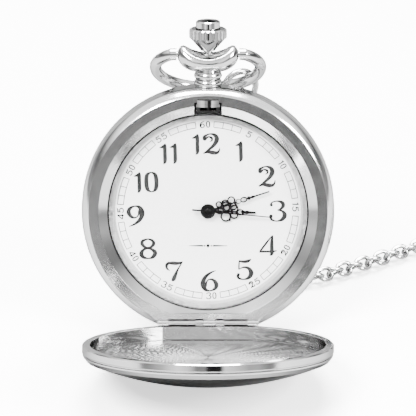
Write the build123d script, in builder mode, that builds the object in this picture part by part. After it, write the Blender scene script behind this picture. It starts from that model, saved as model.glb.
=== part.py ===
# Hunter pocket watch with a quartz movement, its lid open, on its chain. Millimetres, +Z up.
#
# The watch stands on the dome of its open lid and on the rear edge of its case, so it leans back.
# Places on the watch are given in the case's own directions: x to the right, u towards the crown
# and n out of the dial, from the middle of the seat that the closed lid rests on.

import os
from math import acos, asin, atan2, cos, degrees, hypot, pi, radians, sin, sqrt, tan

from build123d import *

os.makedirs("parts", exist_ok=True)

# ---------------------------------------------------------------- driving dimensions

# case band
CASE_R = 23.5  # widest radius
SEAT_R = 22.2  # outer radius of the flat seat for the lid
FRONT_ROUND = 2.2  # depth of the rounding between seat and side
REAR_ROUND = 1.3  # radius of the rounding behind the side
BAND_DEPTH = 7.1  # seat to back cover
BORE_R = 18.45  # bore that holds dial and movement
BACK_RISE = 1.4  # how far the back cover bulges
BACK_WALL = 0.7
BACK_LIP = 0.7  # length of the lip that snaps into the band

# glass and dial
BEZEL_R = 20.35
BEZEL_DEPTH = 1.6
GLASS_R = 18.45
GLASS_EDGE = 0.85
GLASS_RISE = 0.5
GLASS_GASKET = 0.12
FLANGE_RING_HEIGHT = 1.05
FLANGE_RING_R = 17.25  # where the sloped ring meets the dial
DIAL_THICKNESS = 0.35
DIAL_HOLE_R = 0.85

# lid
LID_R = 23.1
LID_BAND = 1.55
LID_GROOVE = 0.12
LID_BEAD = 0.55
LID_FLANK = 0.65  # steep edge between bead and dome
LID_RISE = 4.45  # bulge of the dome
LID_WALL = 0.8
LID_CAVITY_R = 21.6
LID_LINER_DEPTH = 2.4  # rim to liner
LINER_THICKNESS = 0.25
LID_CHORD = 19.85  # flat wall inside the rim, beside the hinge
LID_OPEN = 86.0  # degrees from closed to the stop

# hinge at 6 o'clock
HINGE_U = 20.97
HINGE_DROP = 0.6  # axis below the lid seat
PIN_R = 0.36
LUG_R = 0.55
LUG_IN = 7.4
LUG_OUT = 9.4
CENTRE_LUG = (-0.8, 1.3)  # from and to, along x
LID_LUGS = ((-2.3, -0.9), (1.4, 3.0))
HINGE_POCKET = 0.9  # free radius around the axis
RIM_NOTCH_DEPTH = 3.0

# neck, pendant and crown
STEM_N = -3.9
STEM_R = 0.8
STEM_CORE_R = 0.45
STEM_TIP_U = 8.6
ROD_R = 0.4
TUBE_R = 1.3
COLLAR_R = 2.6
COLLAR_LOW = 23.3
COLLAR_HEIGHT = 1.4
PENDANT_HALF_WIDTH = 5.72
PENDANT_HALF_DEPTH = 3.0
PENDANT_WIDEST = 3.2  # above its foot
PENDANT_SECTIONS = 6  # on each side of the middle
PENDANT_HORN = 4.9  # above its foot
PENDANT_HORN_X = 4.35
PENDANT_SADDLE = 3.5  # above its foot
NECK_R = 2.0
PEG_DEPTH = 0.9
CROWN_R = 3.5
CROWN_FLUTES = 22
FLUTE_R = 0.33
CROWN_GAP = 0.5  # saddle to crown
CROWN_CONE = 2.35
CROWN_RIM = 1.75
CAP_R = 2.25
CAP_HEIGHT = 1.6
CROWN_PULL = 0.8
BUTTON_TRAVEL = 0.5
BAR_HALF_LENGTH = 1.35
BAR_HEIGHT = 0.4

# bow
BOW_WIRE_R = 1.1
BOW_PIVOT = 3.2  # above the pendant's foot
BOW_LENGTH = 14.0
BOW_WIDEST = 5.2  # along the bow from its pivot
BOW_HALF_WIDTH = 9.75
BOW_END_X = 6.6
BOW_PEG_R = 0.55
BOW_DROP = 37.0  # degrees behind and below the plane of the dial

# catch at 12 o'clock
CATCH_HALF_WIDTH = 2.2
CATCH_POCKET_HALF = 2.55
CATCH_POCKET_TOP = 20.9
CATCH_PLATE = 0.4
CATCH_NOSE = 21.45
CATCH_LIP_R = 21.25

# clearances
RUNNING = 0.04
LOOSE = 0.15
NECK_JOINT = 0.1

# chain
CHAIN_D = 3.2
RING_MEAN_R = 3.4
RING_WIRE_R = 0.6
COIL_MEAN_R = 18.0
TBAR_LENGTH = 22.0
TBAR_R = 1.2
TBAR_KNOB_R = 1.6  # balls at its ends and collar in its middle
TBAR_COLLAR = 1.5  # half the collar's length

# ---------------------------------------------------------------- stance

DOME_BASE_R = LID_R - 0.8
DOME_R = (DOME_BASE_R**2 + LID_RISE**2) / (2 * LID_RISE)
LID_DEPTH = LID_BAND + LID_GROOVE + LID_BEAD + LID_FLANK + LID_RISE
open_sin = sin(radians(LID_OPEN))
open_cos = cos(radians(LID_OPEN))
dome_out = HINGE_DROP + LID_DEPTH - DOME_R  # dome centre, outward from the hinge in the lid
DOME_U = -HINGE_U + HINGE_U * open_cos - dome_out * open_sin
DOME_N = -HINGE_DROP + HINGE_U * open_sin + dome_out * open_cos
ROUND_R = CASE_R - REAR_ROUND  # circle on which the rear rounding is centred
ROUND_N = -BAND_DEPTH + REAR_ROUND
# the floor is the line that touches both the dome and the rounding
reach_u = DOME_U + ROUND_R
reach_n = DOME_N - ROUND_N
LEAN = atan2(reach_n, reach_u) - acos((DOME_R - REAR_ROUND) / hypot(reach_u, reach_n))

UP = Vector(0, sin(LEAN), cos(LEAN))
OUT = Vector(0, -cos(LEAN), sin(LEAN))
RIGHT = Vector(1, 0, 0)
PENDANT_FOOT = COLLAR_LOW + 2 * COLLAR_HEIGHT
PIVOT_U = PENDANT_FOOT + BOW_PIVOT

bow_fall = radians(BOW_DROP) + LEAN
rear_y = PIVOT_U * sin(LEAN) - STEM_N * cos(LEAN) + BOW_LENGTH * cos(bow_fall) + BOW_WIRE_R
lid_tilt = LEAN + radians(90 - LID_OPEN)
front_y = (
    -HINGE_U * sin(LEAN)
    + HINGE_DROP * cos(LEAN)
    - (HINGE_U + LID_R) * cos(lid_tilt)
    - (HINGE_DROP + LID_BAND) * sin(lid_tilt)
)
SEAT_CENTRE = Vector(
    0,
    -(front_y + rear_y) / 2,
    ROUND_R * cos(LEAN) - ROUND_N * sin(LEAN) + REAR_ROUND,
)


def place(x, u, n):
    """The point at x, u, n on the watch."""
    return SEAT_CENTRE + RIGHT * x + UP * u + OUT * n


def facing(x=0, u=0, n=0):
    """A plane parallel to the dial, at x, u, n."""
    return Plane(origin=place(x, u, n), x_dir=RIGHT, z_dir=OUT)


def beside(x=0, u=0):
    """A plane through an arbor: its x is the radius and its y the height n."""
    return Plane(origin=place(x, u, 0), x_dir=RIGHT, z_dir=UP * -1)


def arbor(x=0, u=0):
    """The axis of an arbor that stands on the dial's plane."""
    return Axis(place(x, u, 0), OUT)


def along_stem(u=0.0):
    """A plane square to the stem, at height u."""
    return Plane(origin=place(0, u, STEM_N), x_dir=RIGHT, z_dir=UP)


STEM_SECTION = Plane(origin=place(0, 0, STEM_N), x_dir=RIGHT, z_dir=OUT)
STEM_AXIS = Axis(place(0, 0, STEM_N), UP)
HINGE = place(0, -HINGE_U, -HINGE_DROP)
LID_AWAY = UP * open_cos + OUT * open_sin
LID_OUT = OUT * open_cos - UP * open_sin
LID_CENTRE = HINGE + LID_AWAY * HINGE_U + LID_OUT * HINGE_DROP
HINGE_SECTION = Plane(origin=HINGE, x_dir=OUT, z_dir=RIGHT)  # its x is OUT, its y points down the case


def outline(plane, points):
    """A face with straight sides."""
    with BuildSketch(plane) as face:
        with BuildLine():
            Polyline(*points, close=True)
        make_face()
    return face.sketch


def disc(plane, radius, bore=0.0):
    """A round face, with a hole if bore is given."""
    with BuildSketch(plane) as face:
        Circle(radius)
        if bore:
            Circle(bore, mode=Mode.SUBTRACT)
    return face.sketch


def block(plane, x_from, x_to, y_from, y_to):
    """A rectangular face between two corners."""
    with BuildSketch(plane) as face:
        with Locations(((x_from + x_to) / 2, (y_from + y_to) / 2)):
            Rectangle(x_to - x_from, y_to - y_from)
    return face.sketch


def toothed(plane, teeth, module, tooth_at, bore=0.0):
    """A spur wheel's face, with the middle of one tooth at the angle tooth_at in degrees."""
    tip = module * (teeth / 2 + 0.95)
    root = module * (teeth / 2 - 1.25)
    step = 360 / teeth
    points = []
    for i in range(teeth):
        for offset, radius in ((-0.27, root), (-0.1, tip), (0.1, tip), (0.27, root)):
            angle = radians(tooth_at + (i + offset) * step)
            points.append((radius * cos(angle), radius * sin(angle)))
    with BuildSketch(plane) as face:
        with BuildLine():
            Polyline(*points, close=True)
        make_face()
        if bore:
            Circle(bore, mode=Mode.SUBTRACT)
    return face.sketch


def cap_arc(edge_r, edge_z, pole_z):
    """Half the outline of a dome, between its edge and its pole on the axis."""
    rise = pole_z - edge_z
    radius = (edge_r**2 + rise**2) / (2 * abs(rise))
    spread = degrees(asin(edge_r / radius))
    if rise > 0:
        return CenterArc((0, pole_z - radius), radius, 90 - spread, spread)
    return CenterArc((0, pole_z + radius), radius, -90, spread)


def heading(start, end):
    """The angle in degrees from one arbor to another."""
    return degrees(atan2(end[1] - start[1], end[0] - start[0]))


# ---------------------------------------------------------------- case

bezel_floor = -BEZEL_DEPTH
lip_floor = -BAND_DEPTH + BACK_LIP
LIP_R = ROUND_R - 0.65
GROOVE_R = LIP_R + RUNNING

with BuildPart() as case_middle:
    with BuildSketch(beside()):
        with BuildLine():
            Polyline(
                (ROUND_R, -BAND_DEPTH),
                (GROOVE_R, -BAND_DEPTH),
                (GROOVE_R, lip_floor),
                (BORE_R, lip_floor),
                (BORE_R, bezel_floor),
                (BEZEL_R, bezel_floor),
                (BEZEL_R, 0),
                (SEAT_R, 0),
            )
            TangentArc((CASE_R, -FRONT_ROUND), (SEAT_R, 0), tangent=(0, 1))
            Line((CASE_R, -FRONT_ROUND), (CASE_R, ROUND_N))
            CenterArc((ROUND_R, ROUND_N), REAR_ROUND, -90, 90)
        make_face()
    revolve(axis=arbor())
    # flat land inside the hinge, in place of the bezel's edge
    extrude(block(facing(n=bezel_floor), -8, 8, -BEZEL_R, -HINGE_U + 1.9), amount=BEZEL_DEPTH)
    split(bisect_by=facing(), keep=Keep.BOTTOM)
    # room for the lid's rim behind the hinge, and the pocket of the knuckles
    notch_u = -HINGE_U - HINGE_DROP + LOOSE
    extrude(
        block(facing(n=-RIM_NOTCH_DEPTH), -CASE_R, CASE_R, -CASE_R - 1, notch_u),
        amount=RIM_NOTCH_DEPTH,
        mode=Mode.SUBTRACT,
    )
    extrude(
        block(
            facing(n=-HINGE_DROP - HINGE_POCKET),
            -LUG_OUT,
            LUG_OUT,
            -CASE_R,
            -HINGE_U + HINGE_POCKET,
        ),
        amount=HINGE_DROP + HINGE_POCKET,
        mode=Mode.SUBTRACT,
    )
    for x_from, x_to in ((-LUG_OUT, -LUG_IN), CENTRE_LUG, (LUG_IN, LUG_OUT)):
        lug_plane = HINGE_SECTION.offset(x_from)
        extrude(disc(lug_plane, LUG_R), amount=x_to - x_from)
        extrude(
            block(lug_plane, -HINGE_POCKET - 0.1, 0, -HINGE_POCKET - 0.1, LUG_R),
            amount=x_to - x_from,
        )
    extrude(disc(HINGE_SECTION.offset(-LUG_OUT - 1), PIN_R), amount=2 * LUG_OUT + 2, mode=Mode.SUBTRACT)
    # pocket of the catch, and the hole for the pendant tube
    extrude(
        block(facing(n=STEM_N - 1.6), -CATCH_POCKET_HALF, CATCH_POCKET_HALF, BORE_R - 2, CATCH_POCKET_TOP),
        amount=-STEM_N + 1.6,
        mode=Mode.SUBTRACT,
    )
    extrude(disc(along_stem(CATCH_POCKET_TOP - 1), TUBE_R), amount=CASE_R, mode=Mode.SUBTRACT)

with BuildPart() as front_bezel:
    revolve(
        outline(
            beside(),
            [
                (GLASS_R, bezel_floor),
                (BEZEL_R, bezel_floor),
                (BEZEL_R, -0.12),
                (GLASS_R + 0.15, bezel_floor + GLASS_EDGE),
                (GLASS_R, bezel_floor + GLASS_EDGE),
            ],
        ),
        axis=arbor(),
    )
    extrude(
        block(facing(n=bezel_floor), -8, 8, -BEZEL_R - 1, -HINGE_U + 1.9),
        amount=BEZEL_DEPTH,
        mode=Mode.SUBTRACT,
    )
    extrude(
        block(facing(n=bezel_floor), -CATCH_POCKET_HALF, CATCH_POCKET_HALF, GLASS_R - 0.6, BEZEL_R + 1),
        amount=BEZEL_DEPTH,
        mode=Mode.SUBTRACT,
    )

glass_top = bezel_floor + GLASS_EDGE
with BuildPart() as crystal:
    with BuildSketch(beside()):
        with BuildLine():
            Line((0, bezel_floor + GLASS_RISE), (0, glass_top + GLASS_RISE))
            cap_arc(GLASS_R, glass_top, glass_top + GLASS_RISE)
            Polyline((GLASS_R, glass_top), (GLASS_R, bezel_floor), (GLASS_R - 1, bezel_floor))
            cap_arc(GLASS_R - 1, bezel_floor, bezel_floor + GLASS_RISE)
        make_face()
    revolve(axis=arbor())

gasket_floor = bezel_floor - GLASS_GASKET
with BuildPart() as crystal_gasket:
    extrude(disc(facing(n=gasket_floor), GLASS_R - RUNNING, GLASS_R - 0.8), amount=GLASS_GASKET)

DIAL_TOP = gasket_floor - FLANGE_RING_HEIGHT
with BuildPart() as flange_ring:
    revolve(
        outline(
            beside(),
            [
                (BORE_R - RUNNING, gasket_floor),
                (BORE_R - RUNNING, DIAL_TOP),
                (FLANGE_RING_R, DIAL_TOP),
                (FLANGE_RING_R, DIAL_TOP + 0.15),
                (GLASS_R - 0.6, gasket_floor),
            ],
        ),
        axis=arbor(),
    )

DIAL_BACK = DIAL_TOP - DIAL_THICKNESS
with BuildPart() as dial:
    extrude(disc(facing(n=DIAL_BACK), BORE_R - RUNNING, DIAL_HOLE_R), amount=DIAL_THICKNESS)

back_pole = -BAND_DEPTH - BACK_RISE
with BuildPart() as case_back:
    with BuildSketch(beside()):
        with BuildLine():
            cap_arc(ROUND_R, -BAND_DEPTH, back_pole)
            Polyline(
                (ROUND_R, -BAND_DEPTH),
                (LIP_R, -BAND_DEPTH),
                (LIP_R, lip_floor),
                (LIP_R - 1.1, lip_floor),
                (LIP_R - 1.1, -BAND_DEPTH + 0.35),
            )
            cap_arc(LIP_R - 1.1, -BAND_DEPTH + 0.35, back_pole + BACK_WALL)
            Line((0, back_pole + BACK_WALL), (0, back_pole))
        make_face()
    revolve(axis=arbor())

with BuildPart() as back_gasket:
    extrude(
        disc(facing(n=lip_floor - 0.3), LIP_R - 1.1 - RUNNING, BORE_R + 0.1),
        amount=0.3,
    )

# ---------------------------------------------------------------- lid

LID = Plane(origin=LID_CENTRE, x_dir=RIGHT, z_dir=LID_OUT)  # its y points away from the hinge
LID_SECTION = Plane(origin=LID_CENTRE, x_dir=RIGHT, z_dir=LID_AWAY * -1)
LID_AXIS = Axis(LID_CENTRE, LID_OUT)
bead_foot = LID_BAND + LID_GROOVE
flank_foot = bead_foot + LID_BEAD
dome_foot = flank_foot + LID_FLANK
liner_top = LID_LINER_DEPTH + LINER_THICKNESS

with BuildPart() as lid_shell:
    with BuildSketch(LID_SECTION):
        with BuildLine():
            Polyline(
                (0, LID_DEPTH - LID_WALL),
                (0, LID_DEPTH),
            )
            cap_arc(DOME_BASE_R, dome_foot, LID_DEPTH)
            Polyline(
                (DOME_BASE_R, dome_foot),
                (LID_R - 0.3, flank_foot),
                (LID_R - 0.2, flank_foot - 0.12),
                (LID_R - 0.12, bead_foot + 0.14),
                (LID_R - 0.3, bead_foot),
                (LID_R - 0.3, LID_BAND),
                (LID_R - 0.1, LID_BAND - 0.06),
                (LID_R, LID_BAND - 0.25),
                (LID_R, 0.2),
                (LID_R - 0.2, 0),
                (LID_CAVITY_R + 0.08, 0),
                (LID_CAVITY_R, 0.08),
                (LID_CAVITY_R, liner_top),
            )
            cap_arc(LID_CAVITY_R, liner_top, LID_DEPTH - LID_WALL)
        make_face()
    revolve(axis=LID_AXIS)
    # flat wall beside the hinge
    with BuildSketch(LID):
        Circle(LID_CAVITY_R + 0.1)
        with Locations((0, LID_R - LID_CHORD)):
            Rectangle(4 * LID_R, 2 * LID_R, mode=Mode.SUBTRACT)
    extrude(amount=LID_LINER_DEPTH)
    # lip that the catch holds
    with BuildSketch(LID):
        with Locations((0, LID_CAVITY_R)):
            Rectangle(6, 2.4)
        Circle(CATCH_LIP_R, mode=Mode.SUBTRACT)
        Circle(LID_CAVITY_R + 0.2, mode=Mode.INTERSECT)
    extrude(amount=0.4)
    for x_from, x_to in LID_LUGS:
        lug_plane = Plane(origin=HINGE + RIGHT * x_from, x_dir=LID_OUT, z_dir=RIGHT)
        extrude(disc(lug_plane, LUG_R + RUNNING), amount=x_to - x_from)
        extrude(
            block(lug_plane, 0, HINGE_DROP + 0.2, -LUG_R, LUG_R),
            amount=x_to - x_from,
        )
    extrude(
        disc(HINGE_SECTION.offset(-LUG_OUT - 1), PIN_R + RUNNING),
        amount=2 * LUG_OUT + 2,
        mode=Mode.SUBTRACT,
    )

with BuildPart() as lid_liner:
    with BuildSketch(LID.offset(LID_LINER_DEPTH)):
        Circle(LID_CAVITY_R - LOOSE)
    extrude(amount=LINER_THICKNESS)
    with BuildSketch(LID.offset(LID_LINER_DEPTH)):
        with Locations((0, -LID_CHORD - LID_R + LOOSE)):
            Rectangle(4 * LID_R, 2 * LID_R)
    extrude(amount=LINER_THICKNESS, mode=Mode.SUBTRACT)

with BuildPart() as hinge_pin:
    extrude(disc(HINGE_SECTION.offset(-LUG_OUT), PIN_R), amount=2 * LUG_OUT)

# ---------------------------------------------------------------- neck, pendant, crown and bow

SADDLE_U = PENDANT_FOOT + PENDANT_SADDLE
CROWN_FOOT = SADDLE_U + CROWN_GAP
CROWN_EDGE = CROWN_FOOT + CROWN_CONE
CROWN_TOP = CROWN_EDGE + CROWN_RIM
CAP_FOOT = CROWN_TOP - 0.2
CHAMBER_FOOT = CROWN_FOOT + 1.5
BAR_U = BORE_R + 1.0
TUBE_FOOT = CATCH_POCKET_TOP + LOOSE

with BuildPart() as pendant_tube:
    extrude(disc(along_stem(TUBE_FOOT), TUBE_R, STEM_R + RUNNING), amount=SADDLE_U - TUBE_FOOT)

with BuildPart() as neck_collars:
    for level in range(2):
        foot = COLLAR_LOW + level * COLLAR_HEIGHT
        with BuildSketch(STEM_SECTION):
            with BuildLine():
                Polyline(
                    (COLLAR_R - 0.35, foot + COLLAR_HEIGHT),
                    (TUBE_R, foot + COLLAR_HEIGHT),
                    (TUBE_R, foot),
                    (COLLAR_R - 0.35, foot),
                )
                ThreePointArc(
                    (COLLAR_R - 0.35, foot),
                    (COLLAR_R, foot + COLLAR_HEIGHT / 2),
                    (COLLAR_R - 0.35, foot + COLLAR_HEIGHT),
                )
            make_face()
        revolve(axis=STEM_AXIS)
    extrude(disc(facing(n=-BAND_DEPTH), CASE_R), amount=BAND_DEPTH, mode=Mode.SUBTRACT)


def pendant_low(x):
    """Underside of the pendant above its foot."""
    reach = max(0.0, abs(x) - NECK_R) / (PENDANT_HALF_WIDTH - NECK_R)
    return PENDANT_WIDEST * (1 - sqrt(1 - reach**2))


def pendant_high(x):
    """Upper side of the pendant above its foot: a saddle between two horns."""
    if abs(x) <= PENDANT_HORN_X:
        return PENDANT_SADDLE + (PENDANT_HORN - PENDANT_SADDLE) * (x / PENDANT_HORN_X) ** 2
    reach = (abs(x) - PENDANT_HORN_X) / (PENDANT_HALF_WIDTH - PENDANT_HORN_X)
    return PENDANT_WIDEST + (PENDANT_HORN - PENDANT_WIDEST) * sqrt(1 - reach**2)


with BuildPart() as pendant:
    for i in range(-PENDANT_SECTIONS, PENDANT_SECTIONS + 1):
        x = PENDANT_HALF_WIDTH * sin(radians(80 * i / PENDANT_SECTIONS))
        middle = (pendant_low(x) + pendant_high(x)) / 2
        half_height = (pendant_high(x) - pendant_low(x)) / 2
        half_depth = PENDANT_HALF_DEPTH * (1 - (x / PENDANT_HALF_WIDTH) ** 2) ** 0.4
        with BuildSketch(Plane(origin=place(x, PENDANT_FOOT + middle, STEM_N), x_dir=UP, z_dir=RIGHT)):
            Ellipse(half_height, half_depth)
    loft()
    with BuildSketch(along_stem(PENDANT_FOOT)):
        Circle(COLLAR_R - 0.3)
    extrude(amount=PENDANT_SADDLE / 2, taper=12)
    extrude(disc(along_stem(PENDANT_FOOT - 1), TUBE_R), amount=10, mode=Mode.SUBTRACT)
    for side in (-1, 1):
        peg_plane = Plane(
            origin=place(side * (PENDANT_HALF_WIDTH - PEG_DEPTH), PIVOT_U, STEM_N),
            x_dir=OUT,
            z_dir=RIGHT * side,
        )
        extrude(disc(peg_plane, BOW_PEG_R + RUNNING), amount=4, mode=Mode.SUBTRACT)

with BuildPart() as crown:
    revolve(
        outline(
            STEM_SECTION,
            [
                (STEM_R, CROWN_FOOT),
                (STEM_R + 0.5, CROWN_FOOT),
                (CROWN_R - 0.25, CROWN_EDGE - 0.1),
                (CROWN_R, CROWN_EDGE + 0.1),
                (CROWN_R, CROWN_TOP - 0.25),
                (CROWN_R - 0.3, CROWN_TOP),
                (CAP_R + RUNNING, CROWN_TOP),
                (CAP_R + RUNNING, CAP_FOOT - BUTTON_TRAVEL - LOOSE),
                (1.5, CAP_FOOT - BUTTON_TRAVEL - LOOSE),
                (1.5, CHAMBER_FOOT),
                (STEM_R, CHAMBER_FOOT),
            ],
        ),
        axis=STEM_AXIS,
    )
    with BuildSketch(along_stem(CROWN_FOOT - 0.5)):
        with PolarLocations(CROWN_R + 0.05, CROWN_FLUTES):
            Circle(FLUTE_R)
    extrude(amount=CROWN_CONE + CROWN_RIM + 1, mode=Mode.SUBTRACT)

STEM_STEP_U = BORE_R + 0.05
with BuildPart() as winding_stem:
    extrude(disc(along_stem(STEM_TIP_U), STEM_CORE_R), amount=STEM_STEP_U - STEM_TIP_U)
    extrude(disc(along_stem(STEM_STEP_U), STEM_R), amount=CHAMBER_FOOT - STEM_STEP_U)
    extrude(
        disc(along_stem(BAR_U - BUTTON_TRAVEL - LOOSE), ROD_R + RUNNING),
        amount=CROWN_TOP,
        mode=Mode.SUBTRACT,
    )
    extrude(
        block(along_stem(BAR_U - BUTTON_TRAVEL - LOOSE), -2, 2, -0.3, 0.3),
        amount=BAR_HEIGHT + BUTTON_TRAVEL + 2 * LOOSE,
        mode=Mode.SUBTRACT,
    )

with BuildPart() as crown_button:
    with BuildSketch(STEM_SECTION):
        with BuildLine():
            Polyline(
                (0, CAP_FOOT + CAP_HEIGHT + 0.2),
                (0, BAR_U),
                (ROD_R, BAR_U),
                (ROD_R, CAP_FOOT),
                (CAP_R, CAP_FOOT),
                (CAP_R, CAP_FOOT + CAP_HEIGHT - 0.15),
                (CAP_R - 0.2, CAP_FOOT + CAP_HEIGHT + 0.05),
            )
            cap_arc(CAP_R - 0.2, CAP_FOOT + CAP_HEIGHT + 0.05, CAP_FOOT + CAP_HEIGHT + 0.2)
        make_face()
    revolve(axis=STEM_AXIS)
    extrude(
        block(along_stem(BAR_U), -BAR_HALF_LENGTH, BAR_HALF_LENGTH, -0.2, 0.2),
        amount=BAR_HEIGHT,
    )

SPRING_WIRE_R = 0.13
SPRING_R = 1.15
spring_height = CAP_FOOT - CHAMBER_FOOT - 2 * SPRING_WIRE_R - 2 * LOOSE
with BuildPart() as button_spring:
    with BuildLine(along_stem(CHAMBER_FOOT + SPRING_WIRE_R + LOOSE)) as coil_line:
        Helix(pitch=spring_height / 5, height=spring_height, radius=SPRING_R, direction=UP)
    with BuildSketch(Plane(origin=coil_line.line @ 0, z_dir=coil_line.line % 0)):
        Circle(SPRING_WIRE_R)
    sweep(path=coil_line.line)

BOW = Plane(
    origin=place(0, PIVOT_U, STEM_N),
    x_dir=RIGHT,
    z_dir=RIGHT.cross(OUT * -cos(radians(BOW_DROP)) - UP * sin(radians(BOW_DROP))),
)  # its y runs along the bow
shoulder_x = BOW_HALF_WIDTH - BOW_END_X
shoulder_r = (shoulder_x**2 + BOW_WIDEST**2) / (2 * shoulder_x)
shoulder_turn = degrees(atan2(BOW_WIDEST, shoulder_r - shoulder_x))
with BuildPart() as bow:
    with BuildLine(BOW) as loop:
        CenterArc((BOW_HALF_WIDTH - shoulder_r, BOW_WIDEST), shoulder_r, -shoulder_turn, shoulder_turn)
        EllipticalCenterArc((0, BOW_WIDEST), BOW_HALF_WIDTH, BOW_LENGTH - BOW_WIDEST, 0, arc_size=180)
        CenterArc((shoulder_r - BOW_HALF_WIDTH, BOW_WIDEST), shoulder_r, 180, shoulder_turn)
    with BuildSketch(Plane(origin=loop.line @ 0, z_dir=loop.line % 0)):
        Circle(BOW_WIRE_R)
    sweep(path=loop.line)
    for side in (-1, 1):
        boss_x = side * (PENDANT_HALF_WIDTH + NECK_JOINT)
        boss_plane = Plane(origin=place(boss_x, PIVOT_U, STEM_N), x_dir=OUT, z_dir=RIGHT * side)
        extrude(disc(boss_plane, BOW_WIRE_R), amount=BOW_END_X - PENDANT_HALF_WIDTH + 0.3)
        extrude(disc(boss_plane.offset(-PEG_DEPTH), BOW_PEG_R), amount=PEG_DEPTH + 0.3)

# ---------------------------------------------------------------- catch

NOSE_FOOT = 0.5
NOSE_TOP = 1.0
arm_n = -0.9
with BuildPart() as lid_catch:
    catch_u = BAR_U - 0.1 - CATCH_PLATE
    arch_u = CATCH_POCKET_TOP - 0.2
    extrude(
        block(facing(n=STEM_N - 1.2), -CATCH_HALF_WIDTH, CATCH_HALF_WIDTH, catch_u, catch_u + CATCH_PLATE),
        amount=arm_n + 0.5 - STEM_N + 1.2,
    )
    for side in (-1, 1):
        x_mid = side * (CATCH_HALF_WIDTH - 0.35)
        extrude(block(facing(n=arm_n), x_mid - 0.35, x_mid + 0.35, catch_u, arch_u), amount=0.5)
    with BuildSketch(Plane(origin=place(0, arch_u, 0), x_dir=RIGHT, z_dir=UP * -1)):
        with BuildLine():
            Polyline(
                (CATCH_HALF_WIDTH, NOSE_FOOT),
                (CATCH_HALF_WIDTH, arm_n),
                (-CATCH_HALF_WIDTH, arm_n),
                (-CATCH_HALF_WIDTH, NOSE_FOOT),
            )
            ThreePointArc((-CATCH_HALF_WIDTH, NOSE_FOOT), (0, NOSE_TOP), (CATCH_HALF_WIDTH, NOSE_FOOT))
        make_face()
    extrude(amount=0.5)
    with BuildSketch(Plane(origin=place(0, arch_u, 0), x_dir=RIGHT, z_dir=UP)):
        with BuildLine():
            Line((-CATCH_HALF_WIDTH + 0.2, -NOSE_FOOT - 0.03), (CATCH_HALF_WIDTH - 0.2, -NOSE_FOOT - 0.03))
            ThreePointArc(
                (CATCH_HALF_WIDTH - 0.2, -NOSE_FOOT - 0.03),
                (0, -NOSE_TOP + 0.08),
                (-CATCH_HALF_WIDTH + 0.2, -NOSE_FOOT - 0.03),
            )
        make_face()
    extrude(amount=CATCH_NOSE - arch_u)
    extrude(disc(along_stem(catch_u - 1), STEM_R + LOOSE), amount=2, mode=Mode.SUBTRACT)

with BuildPart() as catch_spring:
    with BuildSketch(facing(n=STEM_N - 1.1)):
        with BuildLine():
            Polyline(
                (1.2, catch_u),
                (2.1, catch_u - 0.42),
                (2.1, catch_u - 0.5),
                (2.0, catch_u - 0.5),
                (1.05, catch_u),
                close=True,
            )
        make_face()
    extrude(amount=0.8)

# ---------------------------------------------------------------- movement

PLATE_R = 13.0
PLATE_TOP = DIAL_BACK - 0.05
PLATE_BACK = PLATE_TOP - 1.3
TRAIN_BACK = PLATE_BACK - 1.2
BRIDGE_BACK = TRAIN_BACK - 0.35
MOTION_FLOOR = PLATE_TOP - 0.75
PIVOT_R = 0.12
SECONDS_R = 0.18

WHEEL_MODULE = 0.09
CENTRE_MODULE = 0.085
CANNON_MODULE = 0.125
HOUR_MODULE = 0.12
SECONDS_TEETH, SECONDS_LEAVES = 60, 8
THIRD_TEETH, THIRD_LEAVES = 60, 8
CENTRE_TEETH = 64
STEP_TEETH, STEP_LEAVES = 50, 10
ROTOR_LEAVES = 10
CANNON_LEAVES = 12
MINUTE_TEETH, MINUTE_LEAVES = 36, 10
HOUR_TEETH = 40

third_gap = WHEEL_MODULE * (THIRD_TEETH + SECONDS_LEAVES) / 2
step_gap = WHEEL_MODULE * (SECONDS_TEETH + STEP_LEAVES) / 2
rotor_gap = WHEEL_MODULE * (STEP_TEETH + ROTOR_LEAVES) / 2
minute_gap = CANNON_MODULE * (CANNON_LEAVES + MINUTE_TEETH) / 2
CENTRE = (0.0, 0.0)
THIRD = (third_gap * cos(radians(150)), third_gap * sin(radians(150)))
STEP = (step_gap * cos(radians(-20)), step_gap * sin(radians(-20)))
ROTOR = (STEP[0] + rotor_gap * cos(radians(-60)), STEP[1] + rotor_gap * sin(radians(-60)))
MINUTE = (minute_gap * cos(radians(-37)), minute_gap * sin(radians(-37)))
BATTERY = (-5.2, 7.4)
BATTERY_R = 3.4
BRIDGE_POSTS = ((-5.2, -1.6), (1.4, 4.9), (7.2, 1.6))
BOARD_CENTRE = (-5.4, -6.2)


def wheel(x, u, foot, thickness, teeth, module, tooth_at, bore=0.0):
    """A toothed wheel, standing on the level foot."""
    return extrude(toothed(facing(x, u, foot), teeth, module, tooth_at, bore), amount=thickness)


def shaft(x, u, foot, top, radius, bore=0.0, mode=Mode.ADD):
    """A round post or tube between two levels."""
    return extrude(disc(facing(x, u, foot), radius, bore), amount=top - foot, mode=mode)


with BuildPart() as movement_ring:
    extrude(disc(facing(n=lip_floor), BORE_R - RUNNING, PLATE_R + RUNNING), amount=DIAL_BACK - lip_floor)
    extrude(disc(along_stem(PLATE_R - 2), STEM_R + LOOSE), amount=8, mode=Mode.SUBTRACT)

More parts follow.
